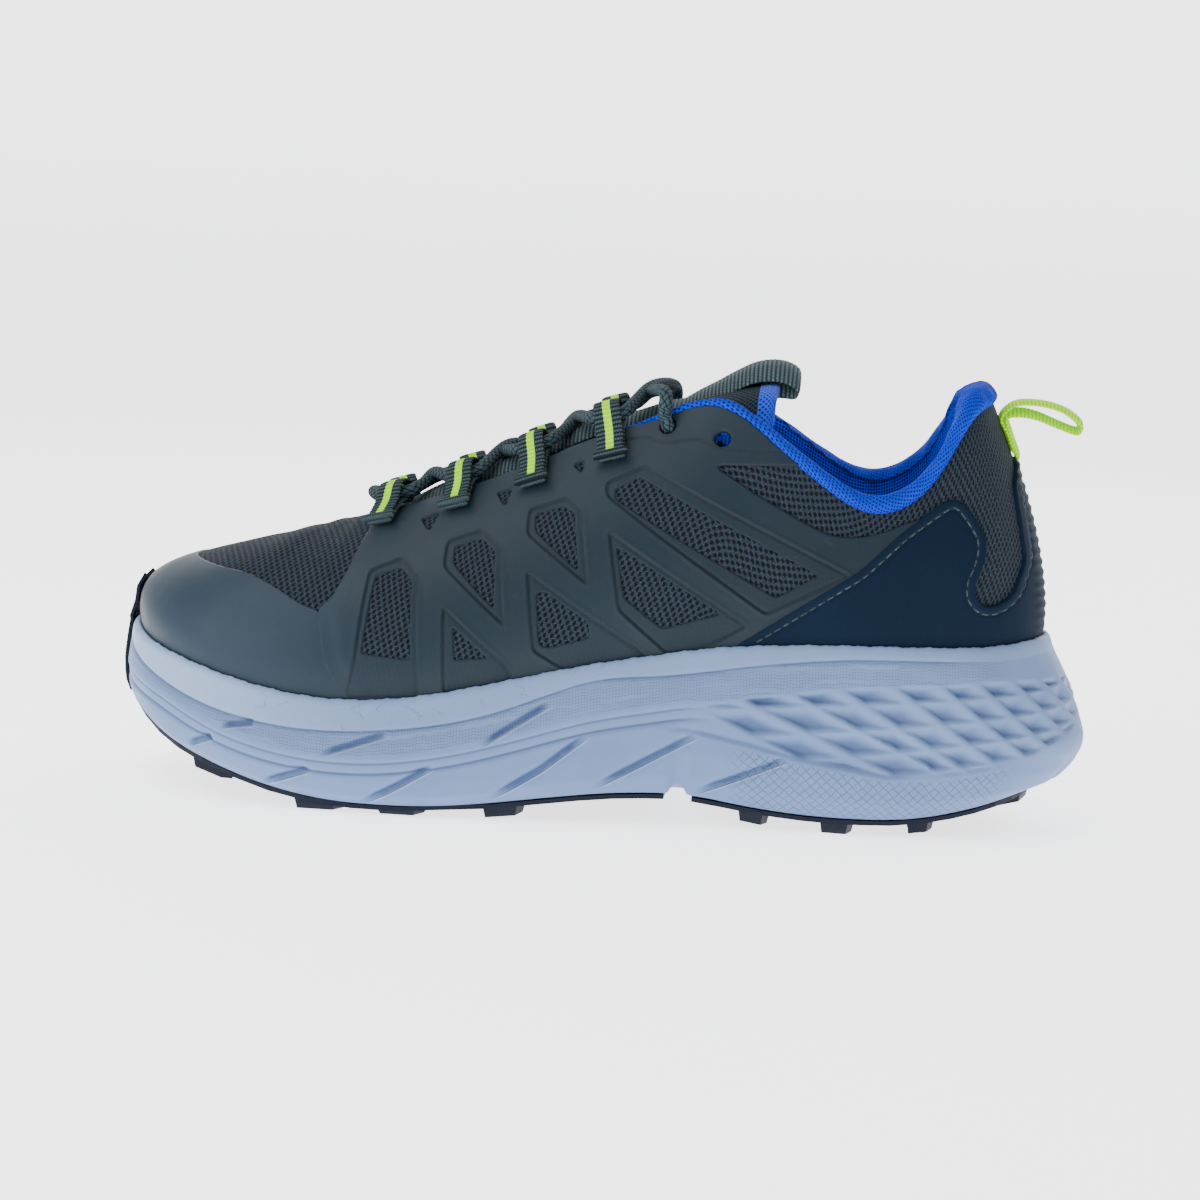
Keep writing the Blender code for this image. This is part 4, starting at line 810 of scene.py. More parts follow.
# Columns: the point, its map and whether it is on the lining, then the distance from the holes
data = np.concatenate([np.concatenate([grid.reshape(-1, 3), flat.reshape(-1, 2),
                                       np.full((grid.shape[0] * grid.shape[1], 1), lined)], 1)
                       for grid, flat, lined in ((outer, outer_map, 0.0), (inner, inner_map, 1.0))])
open_row = row_of(shell_where) < RIDGE - 1e-6
i = np.arange(n)
j = (i + 1) % n
edge_out, edge_in = (i + 1) * high_out - 1, start + (i + 1) * high_in - 1
over_edge = np.stack([edge_out, edge_in, edge_in[j], edge_out[j]], 1)[open_row & open_row[j]]
foot_out, foot_in = i * high_out, start + i * high_in
under_foot = np.stack([foot_out, foot_out[j], foot_in[j], foot_in], 1)
faces = triangles(np.concatenate([grid_faces(n, high_out, wrap=True),
                                  grid_faces(n, high_in, wrap=True, start=start)[:, ::-1],
                                  over_edge, under_foot]))
data = np.concatenate([data, from_holes(data[:, :3])[:, None]], 1)
data, faces = split(data, faces, data[:, 6])
data, faces = keep_part(data, faces, data[:, 6])
upper = piece("upper_mesh_shell", data[:, :3], faces, mesh_knit, None, data[:, 3:5])
upper.data.materials.append(lining.material)
lined = (data[faces][:, :, 5].mean(1) > 0.5).astype(np.int32)
upper.data.polygons.foreach_set("material_index", lined)
weld(upper)
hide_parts("upper")


# Film overlays.  Thin matte film is heat-pressed on the mesh: a cap over the toe and a
# cage along each side whose windows leave the mesh bare.  Each window has a thinner
# margin and an embossed outline round it, and the eyestay has a second layer.
CAP_EDGE = ((-124.5, 67.3), (-112.6, 66.3), (-100.1, 65.5), (-89.6, 61.8), (-82.6, 58.6),
            (-75.4, 57.0), (-72.0, 43.0), (-65.8, 33.5), (-62.0, 22.0), (-62.0, 10.0),
            (-170.0, 10.0), (-170.0, 67.3))
CAGE_EDGE = ((-65.5, 10.0), (-65.5, 22.0), (-68.2, 33.7), (-74.0, 42.8), (-77.6, 57.8), (-73.9, 60.4),
             (-70.7, 67.2), (-68.2, 75.2), (-66.7, 79.6), (-66.0, 96.0), (-20.0, 116.0),
             (20.0, 130.0), (44.0, 130.0), (61.0, 116.0), (61.0, 104.6), (33.6, 103.5),
             (46.0, 96.3), (60.5, 88.7), (67.7, 85.6), (74.8, 85.3), (81.5, 86.7),
             (90.0, 90.5), (96.0, 92.0), (96.0, 10.0))
WINDOWS = (
    ((-61.4, 67.3), (-54.4, 70.2), (-50.9, 66.9), (-49.2, 45.4), (-63.1, 46.4)),
    ((-39.3, 76.5), (-32.0, 79.4), (-27.7, 76.5), (-26.4, 60.7), (-38.9, 72.0)),
    ((-37.4, 54.9), (-27.6, 46.9), (-36.5, 46.0)),
    ((-16.4, 87.0), (-8.7, 89.7), (-5.6, 88.0), (-3.1, 72.4), (-16.1, 82.4)),
    ((-14.3, 65.5), (-12.3, 66.1), (0.4, 58.1), (1.1, 53.8), (-10.3, 50.5), (-12.9, 51.5)),
    ((6.0, 95.2), (12.6, 99.0), (64.7, 74.3), (53.2, 67.5), (6.2, 92.5)),
    ((7.6, 79.6), (37.7, 62.2), (21.6, 57.3), (10.4, 65.6)),
    ((-50.9, 82.7), (-45.8, 85.0), (-48.0, 80.1)),
    ((-29.0, 91.4), (-24.7, 93.4), (-26.2, 88.4)),
    ((-6.8, 100.7), (-4.3, 102.5), (-4.5, 99.0)),
)
MARGINS = (
    ((-63.4, 68.5), (-54.0, 72.6), (-49.0, 68.1), (-46.1, 34.0), (-67.0, 34.0), (-65.0, 44.3)),
    ((-41.7, 77.7), (-31.5, 81.6), (-25.8, 77.4), (-23.0, 55.9), (-41.8, 71.0)),
    ((-40.7, 60.5), (-21.9, 45.2), (-18.0, 36.0), (-39.4, 36.0)),
    ((-18.6, 87.9), (-7.5, 91.9), (-3.3, 89.2), (0.1, 68.4), (-18.6, 81.4)),
    ((-17.6, 71.4), (14.2, 51.8), (19.0, 47.0), (6.0, 42.0), (-6.0, 44.5), (-14.7, 49.5)),
    ((3.2, 96.7), (14.4, 102.1), (74.0, 74.6), (50.6, 62.5), (3.5, 93.2)),
    ((5.0, 83.6), (45.5, 59.2), (30.0, 50.0), (24.0, 49.5), (8.9, 62.1)),
)
PATCH_EDGE = ((36.0, 10.0), (41.0, 51.0), (42.3, 53.6), (76.4, 76.4), (82.0, 82.0), (87.6, 87.5),
              (93.3, 92.0), (99.0, 96.4), (102.1, 97.4), (105.0, 96.1), (108.9, 91.1), (111.5, 86.7), (111.8, 81.9),
              (110.6, 77.1), (109.1, 73.4), (109.2, 70.0), (112.0, 67.2), (115.8, 67.7),
              (120.1, 70.9), (123.0, 80.0), (120.6, 92.2), (118.8, 100.4), (119.5, 106.6),
              (119.5, 111.0),
              (150.0, 111.0), (150.0, 10.0))
STAY = ((-70.0, 140.0), (-70.0, 90.0), (8.0, 109.0), (14.8, 110.1), (17.5, 108.9), (20.5, 108.8),
        (25.0, 109.9), (29.4, 110.5), (33.0, 109.2), (35.9, 108.4), (40.0, 108.3), (60.0, 109.0), (60.0, 140.0))
FILM_EDGE = 0.42


def rounded(outline, radius):
    """Outline whose corners are parabolas between points a radius before and after each corner."""
    p = np.asarray(outline, float)
    sides = []
    for other in (np.roll(p, 1, 0), np.roll(p, -1, 0)):
        way = other - p
        size = np.linalg.norm(way, axis=1)[:, None]
        sides.append(p + way / size * np.minimum(radius, 0.45 * size))
    t = np.linspace(0, 1, 5)[:, None, None]
    curve = (1 - t) ** 2 * sides[0] + 2 * t * (1 - t) * p + t * t * sides[1]
    return curve.transpose(1, 0, 2).reshape(-1, 2)


def within(outline, x, z, radius=1.4):
    """Distance to a rounded outline in the side view, positive inside it.  The sign comes from the
    count of edges that a level ray crosses."""
    p = rounded(outline, radius)
    q = np.roll(p, -1, 0)
    best = np.full(np.shape(x), 1e9)
    odd = np.zeros(np.shape(x), bool)
    for (ax, az), (bx, bz) in zip(p, q):
        dx, dz = bx - ax, bz - az
        t = np.clip(((x - ax) * dx + (z - az) * dz) / max(dx * dx + dz * dz, 1e-9), 0, 1)
        best = np.minimum(best, np.hypot(x - ax - t * dx, z - az - t * dz))
        if abs(dz) > 1e-9:
            odd ^= ((az > z) != (bz > z)) & (x < ax + dx * (z - az) / dz)
    return np.where(odd, best, -best)


film = Finish("matte film", {"Specular IOR Level": 0.2})
wear = film.noise(film.place(), 60.0, 4.0, 0.6)
patina = film.noise(film.place(), 9.0, 3.0)
fibre = film.noise(film.place(), 1500.0, 2.0)
x, y, _ = film.axes(film.stretch(film.along(), (1, 1, 1), 0.35))
print_through = (x * 3.59).sine() * (y * 2.73).sine()
thin = film.mark("thin")
forward, _, _ = film.axes(film.place())
speck = film.noise(film.place(), 2600.0, 2.0).step(0.72, 0.80)
scuff = film.noise(film.place(), 170.0, 5.0, 0.75).step(0.62, 0.80)
# Painted light makes the front and the cap lighter and painted shade the rear of the cage darker; then thin
# margins, painted shade in the pressed lines, and wear
shade = film.layers(film.mix(patina.step(0.3, 0.7), tint(23, 36, 45), tint(28, 42, 51)),
                    (forward.step(-0.045, -0.105) * 0.8, (36, 51, 64)),
                    (forward.step(-0.01, 0.08) * 0.55, (12, 24, 34)),
                    (thin * 0.12, (18, 29, 38)),
                    # Painted shade in the pressed lines round the windows and along the eyestay's second layer
                    (film.mark("line").step(0.75, 0.15) * 0.45, (10, 18, 25)),
                    (speck * 0.10, (84, 96, 104)),
                    (scuff * 0.10, (100, 110, 116)))
film.put({"Base Color": shade, "Roughness": wear.step(0.2, 0.8) * 0.12 + thin * 0.08 + 0.46,
          "Normal": film.relief(fibre * 0.10 + print_through * (thin * 0.05 + 0.02), 0.22)})


def film_grid(first, last, rows, step=0.75):
    """Points, normals and drops over a run of stations, from the top line to just under the rim."""
    where = even_stations(first, last, step)
    drop = drops(where, rows)
    base, normal = skin(where, drop)
    base = base + normal * creases(base)[:, :, None]
    base[:, 0, 2] -= 0.8
    return where, base, normal, drop


def film_piece(name, grid, edge, rise, levels, finish, marks, node, height):
    """Film cut along edge = 0 with a rounded border, and stepped where rise crosses zero.  The grid is
    divided along both lines first, so that every outline is a smooth edge of the mesh."""
    where, base, normal, drop = grid
    columns = [base, normal, knit_map(where, base, drop)]
    columns += [mark[..., None] for mark in (edge, rise, *marks.values())]
    data = np.concatenate(columns, 2).reshape(len(where) * base.shape[1], -1)
    faces = triangles(grid_faces(len(where), base.shape[1]))
    data, faces = split(data, faces, data[:, 8])
    data, faces = keep_part(data, faces, data[:, 8])
    for column, level in levels:
        data, faces = split(data, faces, data[:, 8 + column] - level)
    edge, rise = data[:, 8], data[:, 9]
    shown = {name: data[:, 10 + i] for i, name in enumerate(marks)}
    points = data[:, :3] + data[:, 3:6] * height(edge, rise, shown)[:, None]
    shown["thin"] = ramp(0.3, -0.3, rise)
    made = piece(name, points, faces, finish, shown, data[:, 6:8])
    weld(made)
    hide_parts(node)
    return made


def border(edge, full):
    """Height of a film near its cut edge: a quarter ellipse from just under the mesh upwards."""
    t = np.clip(edge / FILM_EDGE, 0, 1)
    return -0.35 + (0.35 + full) * np.sqrt(np.clip(1 - (1 - t) ** 2, 0, 1))


def cage_height(edge, rise, marks):
    plateau = 0.46 + 0.30 * ramp(-0.4, 0.4, rise) + 0.28 * ramp(-0.3, 0.3, marks["stay"])
    line = 0.12 * np.exp(-((rise - 0.55) / 0.45) ** 2) - 0.20 * np.exp(-((rise + 0.45) / 0.35) ** 2)
    return border(edge, 0.45 + (plateau + line - 0.45) * marks["free"])


for word, first, last in (("lateral", 2.6, 12.75), ("medial", COUNT - 12.75, COUNT - 2.6)):
    grid = film_grid(first, last, 132)
    x, z, drop = grid[1][..., 0], grid[1][..., 2], grid[3]
    edge = np.minimum(within(CAGE_EDGE, x, z, 3.0), 1.1 - within(PATCH_EDGE, x, z, 2.0))
    edge = np.minimum(edge, drop - roll_width(grid[0])[:, None] + 0.2)
    for window in WINDOWS:
        edge = np.minimum(edge, -within(window, x, z, 1.1 if len(window) > 3 else 0.5))
    edge = np.minimum(edge, from_holes(grid[1]))
    rise = np.full(x.shape, 9.0)
    for margin in MARGINS:
        rise = np.minimum(rise, -within(margin, x, z, 1.6))
    stay = within(STAY, x, z, 1.5)
    marks = {"stay": stay, "free": ramp(0.5, 5, -within(CAP_EDGE, x, z, 3.0)),
             "line": np.minimum(np.abs(rise), np.where(x > 7, np.abs(stay + 0.2), 9.0))}
    film_piece("film_cage_" + word, grid, edge, rise,
               ((0, FILM_EDGE), (1, -0.4), (1, 0.4), (2, -0.3), (2, 0.3)),
               film, marks, "cage_" + word, cage_height)

grid = film_grid(11.2, COUNT - 11.2, 96, 0.8)
x, z = grid[1][..., 0], grid[1][..., 2]
edge = within(CAP_EDGE, x, z, 3.0)
film_piece("film_toe_cap", grid, edge, edge + 6, ((0, FILM_EDGE),), film,
           {"line": 9 + 0 * x}, "toe_cap", lambda edge, rise, marks: border(edge, 0.42))


# Heel counter.  A darker matte film wraps the heel, sewn along its edge with a run of
# small stitches in a pressed line, and ribbed down the back where it flexes.
RIB_PITCH = 3.1
SEAM_INSET = 2.5
heel_film = Finish("satin heel film", {"Specular IOR Level": 0.06})
fibre = heel_film.noise(heel_film.place(), 1700.0, 2.0)
patina = heel_film.noise(heel_film.place(), 14.0, 3.0)
speck = heel_film.noise(heel_film.place(), 2600.0, 2.0).step(0.72, 0.80)
shade = heel_film.layers(heel_film.mix(patina.step(0.3, 0.7), tint(10, 23, 40), tint(13, 28, 46)),
                         (heel_film.mark("band") * 0.8, (15, 30, 42)),
                         (heel_film.mark("seam").step(0.8, 0.0) * 0.35, (34, 50, 62)),
                         (speck * 0.12, (120, 132, 140)))
heel_film.put({"Base Color": shade, "Roughness": patina.step(0.2, 0.8) * 0.1 + 0.62,
               "Normal": heel_film.relief(fibre, 0.03)})


def patch_height(edge, rise, marks):
    seam = 0.38 * ramp(2.9, 2.0, edge) - 0.3 * np.exp(-((edge - SEAM_INSET) / 0.5) ** 2)
    ribs = marks["band"] * 0.45 * (0.5 + 0.5 * np.sin(marks["tall"] * 2 * math.pi / RIB_PITCH))
    return border(edge, 0.66 + seam + ribs)


heel_grid = film_grid(-6.6, 6.6, 118)
x, z = heel_grid[1][..., 0], heel_grid[1][..., 2]
edge = within(PATCH_EDGE, x, z, 2.0)
band = ramp(19, 12, from_heel(heel_grid[0]))[:, None] * ramp(55, 66, z)
film_piece("film_heel_counter", heel_grid, edge, edge + 20,
           ((0, FILM_EDGE), (0, 1.9), (0, SEAM_INSET), (0, 3.1)), heel_film,
           {"band": band, "tall": z, "seam": np.abs(edge - SEAM_INSET)}, "heel_counter", patch_height)


# Collar.  Foam under bright blue knit, rolled over the upper's edge and padded inside the
# heel; a seam inside the roll joins it to a lining with small dark dots.
COLLAR = ((0, 100, 100, 100), (2, 93, 91, 100), (4, 71, 76, 92), (5, 63, 68, 83),
          (6, 57, 59, 70), (7, 46, 35, 40), (8, 23, 18, 17))
COLLAR_DEPTH = 34.0
COLLAR_PAD = 6.0
COLLAR_END = 8.0
collar_knit = Finish("blue collar knit", {"Roughness": 0.88, "Specular IOR Level": 0.15})
inside = collar_knit.mark("inside").step(-0.5, 0.5)
roll_tone, roll_height = knit(collar_knit, 1.35, 1.8, tint(0, 4, 50), tint(0, 34, 160),
                              tint(0, 70, 222), turn=0.5, size=(0.3, 0.62))
u, v, _ = collar_knit.axes(collar_knit.along())
dots = ((u * 3.3).sine() * (v * 3.3).sine()).size().step(0.30, 0.62)
lining_tone = collar_knit.mix(dots, tint(0, 74, 250), tint(0, 16, 110))
patina = collar_knit.noise(collar_knit.place(), 40.0, 3.0)
shade = collar_knit.layers(collar_knit.mix(inside, roll_tone, lining_tone),
                           (patina.step(0.35, 0.8) * 0.18, (0, 26, 130)),
                           # Painted shade: dark blue along the seam's groove inside the roll
                           (collar_knit.mark("seam").step(0.9, 0.2) * 0.7, (0, 10, 60)))
height = roll_height * (1 - inside) + (1 - dots) * inside
collar_knit.put({"Base Color": shade, "Normal": collar_knit.relief(height, 0.3)})


def across_rows(controls, samples):
    """Points through rows of controls along axis 1: Catmull-Rom spans, even in the rows' own index."""
    c = np.concatenate([2 * controls[:, :1] - controls[:, 1:2], controls,
                        2 * controls[:, -1:] - controls[:, -2:-1]], 1)
    at = np.linspace(0, controls.shape[1] - 1, samples)
    low = np.minimum(at.astype(int), controls.shape[1] - 2)
    t = (at - low).reshape(1, -1, *([1] * (controls.ndim - 2)))
    p, q, r, s = (c[:, low + k] for k in range(4))
    return 0.5 * (2 * q + (r - p) * t + (2 * p - 5 * q + 4 * r - s) * t * t
                  + (3 * q - p - 3 * r + s) * t ** 3)


def tube_faces(points):
    """Quads round a closed tube of rings, facing away from the first ring's middle, and two caps."""
    rows, columns = points.shape[:2]
    index = np.arange(rows * columns).reshape(rows, columns)
    ring = np.concatenate([index, index[:, :1]], 1)
    faces = np.stack([ring[:-1, :-1], ring[:-1, 1:], ring[1:, 1:], ring[1:, :-1]], -1).reshape(-1, 4)
    a, b, c = points[0, 0], points[0, 1], points[1, 1]
    if np.dot(np.cross(b - a, c - a), a - points[0].mean(0)) < 0:
        return [tuple(f) for f in faces[:, ::-1]] + [tuple(index[0]), tuple(index[-1, ::-1])]
    return [tuple(f) for f in faces] + [tuple(index[0, ::-1]), tuple(index[-1])]


def make_collar():
    """Section of 13 controls under the top line, run round the heel from one end to the other; the
    foam puckers a little at the seam and swells a little between."""
    where = even_stations(-COLLAR_END, COLLAR_END, 1.0)
    row = row_of(where)
    width, depth, thick = (read(COLLAR, row, k) / 100 * full
                           for k, full in ((1, COLLAR_ROLL), (2, COLLAR_DEPTH), (3, COLLAR_PAD)))
    inner = -(WALL + GAP + 0.35)
    zero = 0 * width
    section = ((width + 0.6, zero - 0.1), (width * 0.7 + 0.3, 1.15 + 0.10 * width),
               (width * 0.2, zero + 0.9),
               (zero, zero - 1.2), (zero + 0.2, inner - thick * 0.3),
               (width * 0.45, inner - thick * 0.75), (width * 0.3 + depth * 0.3, inner - thick),
               (depth * 0.7, inner - thick * 0.75), (depth * 0.97, inner - thick * 0.35 - 0.2),
               (depth, inner - 0.4 + zero), (depth * 0.97, inner + zero),
               (width + 2.0, inner + zero), (width - 0.5, inner + 0.3 + zero))
    control = np.array(section).transpose(2, 0, 1)
    control = np.concatenate([control, control[:, :1]], 1)
    fine = across_rows(control, 96)[:, :-1]
    base, normal = skin(where, np.clip(fine[:, :, 0], 0, None))
    points = base + normal * fine[:, :, 1:]
    run = run_across(points)
    a = from_heel(where) * np.sign(np.where(np.mod(where, COUNT) > LAST, -1.0, 1.0))
    side = np.broadcast_to(a[:, None], run.shape)
    seam = run - (np.interp(row, (0, 4, 8), (19.0, 15.0, 6.0)))[:, None]
    facing = grid_normals(points)
    swell = 0.22 * np.sin(side * 0.55 + 0.4 * np.sin(run * 0.5)) * np.sin(run * 0.42)
    pucker = 0.35 * np.exp(-(seam / 2.2) ** 2) * np.sin(side * 1.45)
    groove = -0.55 * np.exp(-(seam / 0.8) ** 2)
    outer = ramp(0, 1.5, run) * ramp(64, 60, np.arange(run.shape[1])[None, :] * 1.0)
    points = points + facing * ((swell + pucker + groove) * outer)[:, :, None]
    return points, seam, np.stack([side, run], 2)


collar_grid, seam, collar_map = make_collar()
collar = piece("collar_padded_roll", collar_grid, tube_faces(collar_grid), collar_knit,
               {"inside": seam, "seam": np.abs(seam)}, collar_map)
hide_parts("collar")


# Tongue.  Thin foam between dark mesh and blue lining; its sides are sewn under the
# eyestay, and the top stands free of the ankle.
TONGUE = 3.2
TONGUE_TUCK = 12.0
LINED_ROWS = 19
TONGUE_TOP = ((15.0, 3.0, 0.88), (12.0, 2.7, 0.94), (6.0, 1.6, 0.98))


def tongue_section(row):
    """Lateral to medial points of the tongue's top face at one station."""
    gap = WALL + 0.45 + np.interp(row, (7.0, 8.5, 9.0), (3.2, 1.9, 0.0))
    drop = np.array([[TONGUE_TUCK, TONGUE_TUCK * 0.5, 0.0]])
    sides = []
    for where in (row, COUNT - row):
        base, normal = skin(np.array([where]), drop)
        sides.append((base - normal * gap)[0])
    left, right = sides[0], sides[1][::-1]
    a, d = left[2], right[0]
    reach = np.linalg.norm(d - a) * 0.34
    flat = np.array([1, 1, 0.55])
    b = a + (left[2] - left[1]) * flat / np.linalg.norm(left[2] - left[1]) * reach
    c = d + (right[0] - right[1]) * flat / np.linalg.norm(right[0] - right[1]) * reach
    return np.concatenate([left, cubic(a, b, c, d, np.linspace(0, 1, 6)[1:-1, None]), right])


def tongue_controls():
    rows = [tongue_section(r) for r in (7.0, 7.5, 8.0, 8.5, 9.0, 10.0, 11.0, 11.5, 12.0, 12.5, 12.75)]
    free = []
    for ahead, up, squeeze in TONGUE_TOP:
        moved = rows[0] + np.array([ahead, 0, up])
        moved[:, 1] = rows[0][:, 1].mean() + (rows[0][:, 1] - rows[0][:, 1].mean()) * squeeze
        free.append(moved)
    return np.array(free + rows)


tongue_rows = tongue_controls()
surface = across_rows(across_rows(tongue_rows, 44).transpose(1, 0, 2), 170).transpose(1, 0, 2)
facing = grid_normals(surface)
facing = np.where(facing[:, :, 2:] < 0, -facing, facing)
u = np.linspace(-1, 1, surface.shape[1])[None, :]
v = np.linspace(0, 1, surface.shape[0])[:, None]
round_off = np.maximum(ramp(0.86, 1.0, np.abs(u)) ** 2, ramp(0.03, 0.0, v) ** 2)
round_off = np.sqrt(np.clip(1 - round_off, 0, 1)) * np.sqrt(np.clip(1 - ramp(0.99, 1.0, v) ** 2, 0, 1))
quilt = 0.12 * np.sin(u * 9 + v * 20) * np.sin(v * 46)
top_face = surface - facing * ((1 - round_off) * TONGUE / 2 - quilt * round_off)[:, :, None]
low_face = surface - facing * ((1 + round_off) * TONGUE / 2)[:, :, None]
tongue_map = np.stack(np.broadcast_arrays(u * 36, v * 130), 2)
rows, columns = surface.shape[:2]
index = np.arange(rows * columns).reshape(rows, columns)
low = index + rows * columns
border = np.zeros((rows, columns), bool)
border[[0, -1]] = True
border[:, [0, -1]] = True
low[border] = index[border]
both = [np.stack([table[:-1, :-1], table[1:, :-1], table[1:, 1:], table[:-1, 1:]], -1).reshape(-1, 4)
        for table in (index, low)]
both[1] = both[1][:, ::-1]
tongue_points = np.concatenate([top_face.reshape(-1, 3), low_face.reshape(-1, 3)])
a, b, c = (tongue_points[both[0][len(both[0]) // 2 + 20][k]] for k in range(3))
if np.cross(b - a, c - a)[2] < 0:
    both = [q[:, ::-1] for q in both]
tongue_knit = Finish("tongue mesh", {"Roughness": 0.9, "Specular IOR Level": 0.2})
tone, height = knit(tongue_knit, 2.0, 2.5, tint(0, 1, 5), tint(13, 22, 32), tint(64, 82, 96),
                    size=(0.06, 0.28))
tongue_knit.put({"Base Color": tone, "Normal": tongue_knit.relief(height, 0.35)})
tongue = piece("tongue_pad", tongue_points, np.concatenate(both), tongue_knit, None,
               np.concatenate([tongue_map.reshape(-1, 2)] * 2))
tongue.data.materials.append(lining.material)
lined = np.concatenate([np.repeat(np.arange(rows - 1), columns - 1) < LINED_ROWS,
                        np.ones(len(both[0]), bool)])
tongue.data.polygons.foreach_set("material_index", lined.astype(np.int32))
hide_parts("tongue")


# Webbing.  Woven strap with ribs across it: four folded lace loops on each side with a
# yellow stripe, a plain strip and tab along the tongue, and a bright loop at the heel.
STRAP = 1.1
LOOP_WIDTH = 8.0
TAB_WIDTH = 20.0
PULL_WIDTH = 11.0
PULL_REACH = 24.0
PULL_RISE = 16.0
LACE_LOOPS = (29.1, 36.3, 43.8, 51.2)
LOOP_SECTION = ((11.0, 2.35), (2.0, 2.5), (-2.0, 2.0), (-5.6, 0.9), (-9.1, 2.3),
                (-9.4, 5.1), (-6.0, 7.1), (-1.8, 6.8), (3.0, 4.2), (11.0, 3.9))
PULL_PATH = ((19, 88), (48, 92), (78, 82), (99, 61), (96, 46), (78, 53), (46, 71), (25, 76))
# Drops below the top line of the pull's sewn legs, and how far its inner leg's middle is off the heel
PULL_DROPS = (22.0, 16.0, 11.0)
PULL_UNDER = 0.85
# Rows of the tongue that the strip passes, each with its height over them, and its last point
STRIP_RISE = ((11, 0.6), (10, 3.2), (9, 5.0), (8, 5.4), (7, 4.9), (6, 4.2), (5, 3.4))
STRIP_END = (23.5, 0, 120.7)
TAB_PATH = ((22.0, 120.0), (27.0, 123.2), (32.5, 126.3), (38.0, 129.6), (43.5, 132.3), (49.0, 133.2),
            (53.4, 132.4), (55.9, 130.6), (55.2, 128.7), (51.5, 128.9), (47.0, 128.9), (43.0, 127.0),
            (39.5, 124.2))


def even_path(controls, step):
    """Rounded path through the controls, then evenly spaced."""
    controls = np.asarray(controls, float)
    fine = across_rows(controls[None], 40 * len(controls))[0]
    run = run_of(fine)
    at = np.linspace(0, run[-1], int(run[-1] / step) + 2)
    return np.stack([np.interp(at, run, fine[:, k]) for k in range(3)], 1), at


def strap(name, controls, across, width, finish, node, rib, flare=0.0, ribs=0.12, bow=(0, 0)):
    """Strap of webbing swept along a path: a flat section with round edges, ribbed by a sine along
    the path, and widened by flare over its last two millimetres, where it is sewn down."""
    path, run = even_path(controls, 0.32)
    across = unit(np.asarray(across, float))
    normal = unit(np.cross(np.gradient(path, axis=0), across))
    turn = np.linspace(0, 2 * math.pi, 28, endpoint=False)
    wide = np.sign(np.cos(turn)) * np.abs(np.cos(turn)) ** 0.45
    tall = np.sign(np.sin(turn)) * np.abs(np.sin(turn)) ** 0.6
    foot = ramp(2.4, 1.6, run[-1] - run) if flare else 0 * run
    half = width / 2 + foot * flare + 0.10 * np.sin(run * 2 * math.pi / rib)
    high = STRAP / 2 + ribs * np.cos(run * 2 * math.pi / rib) * (1 - foot) + foot * 0.25
    points = (path[:, None] + across * (wide[None, :] * half[:, None])[:, :, None]
              + normal[:, None] * (tall[None, :] * high[:, None])[:, :, None])
    points[:, :, 2] -= np.linspace(*bow, len(path))[:, None] * (wide ** 2)[None, :]
    uv = np.stack(np.broadcast_arrays(run[:, None], wide[None, :] * half[:, None]), 2)
    sewn = np.maximum(foot, ramp(2.4, 1.6, run)) if flare else foot
    marks = {"foot": np.repeat(sewn, len(turn))}
    made = piece(name, points, tube_faces(points), finish, marks, uv)
    if node:
        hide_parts(node)
    return made


def weave(finish, dark, light, rib, stripe=None):
    """Ribs across the strap and fine warp threads along it.  A stripe down its middle may be
    brighter, and it gives off a little light as fluorescent yarn seems to."""
    u, v, _ = finish.axes(finish.along())
    ribbed = (u * (2 * math.pi / rib)).math("COSINE").step(-0.9, 0.7)
    warp = (v * 7.5 + u * (math.pi / rib)).sine().step(-0.8, 0.8)
    tone = finish.mix(ribbed * (warp * 0.45 + 0.55), dark, light)
    if stripe is not None:
        middle = v.size().step(1.30, 1.05) * (1 - finish.mark("foot").step(0.2, 0.5))
        tone = finish.mix(middle * (ribbed * 0.25 + 0.75), tone, stripe)
        finish.put({"Emission Color": finish.mix(middle, (0.0, 0.0, 0.0, 1.0), stripe)})
    fuzz = finish.noise(finish.place(), 1600.0, 2.0)
    height = ribbed * 0.6 + warp * 0.4 + fuzz * 0.25
    finish.put({"Base Color": tone, "Normal": finish.relief(height, 0.22)})


loop_web = Finish("lace loop webbing", {"Roughness": 0.8, "Specular IOR Level": 0.15,
                                        "Emission Strength": 0.15})
weave(loop_web, tint(12, 21, 26), tint(58, 75, 80), 1.45, tint(160, 225, 0))
tab_web = Finish("tongue webbing", {"Roughness": 0.8, "Specular IOR Level": 0.25})
weave(tab_web, tint(26, 38, 44), tint(74, 94, 98), 1.25)
# The bright webbing gives off a little light over its whole face, a painted glow
neon_web = Finish("bright webbing", {"Roughness": 0.75, "Specular IOR Level": 0.15,
                                     "Emission Strength": 0.2, "Emission Color": (0.42, 1.0, 0.0, 1.0)})
weave(neon_web, tint(128, 190, 0), tint(186, 240, 0), 1.1)


def eye_frame(share, side):
    """Throat edge with the directions of the lace loop, turned level towards the tongue."""
    edge, along, up, normal = place_on(share, 0.0, side)
    if along[0] < 0:
        along = -along
    flat = unit(up * (1, 1, 0.45))
    over = unit(np.cross(along, flat))
    return edge, along, flat, over if over[2] > 0 else -over


for i, share in enumerate(LACE_LOOPS):
    for side, word in ((-1, "lateral"), (1, "medial")):
        edge, along, up, normal = eye_frame(share, side)
        path = [place_on(share, drop, side, rise)[0] if drop >= 0 else edge - up * drop + normal * rise
                for drop, rise in LOOP_SECTION]
        node = "lace_loop_%s_%d" % (word, i + 1)
        strap("webbing_" + node, path, along, LOOP_WIDTH, loop_web, node, 1.45, flare=1.3)

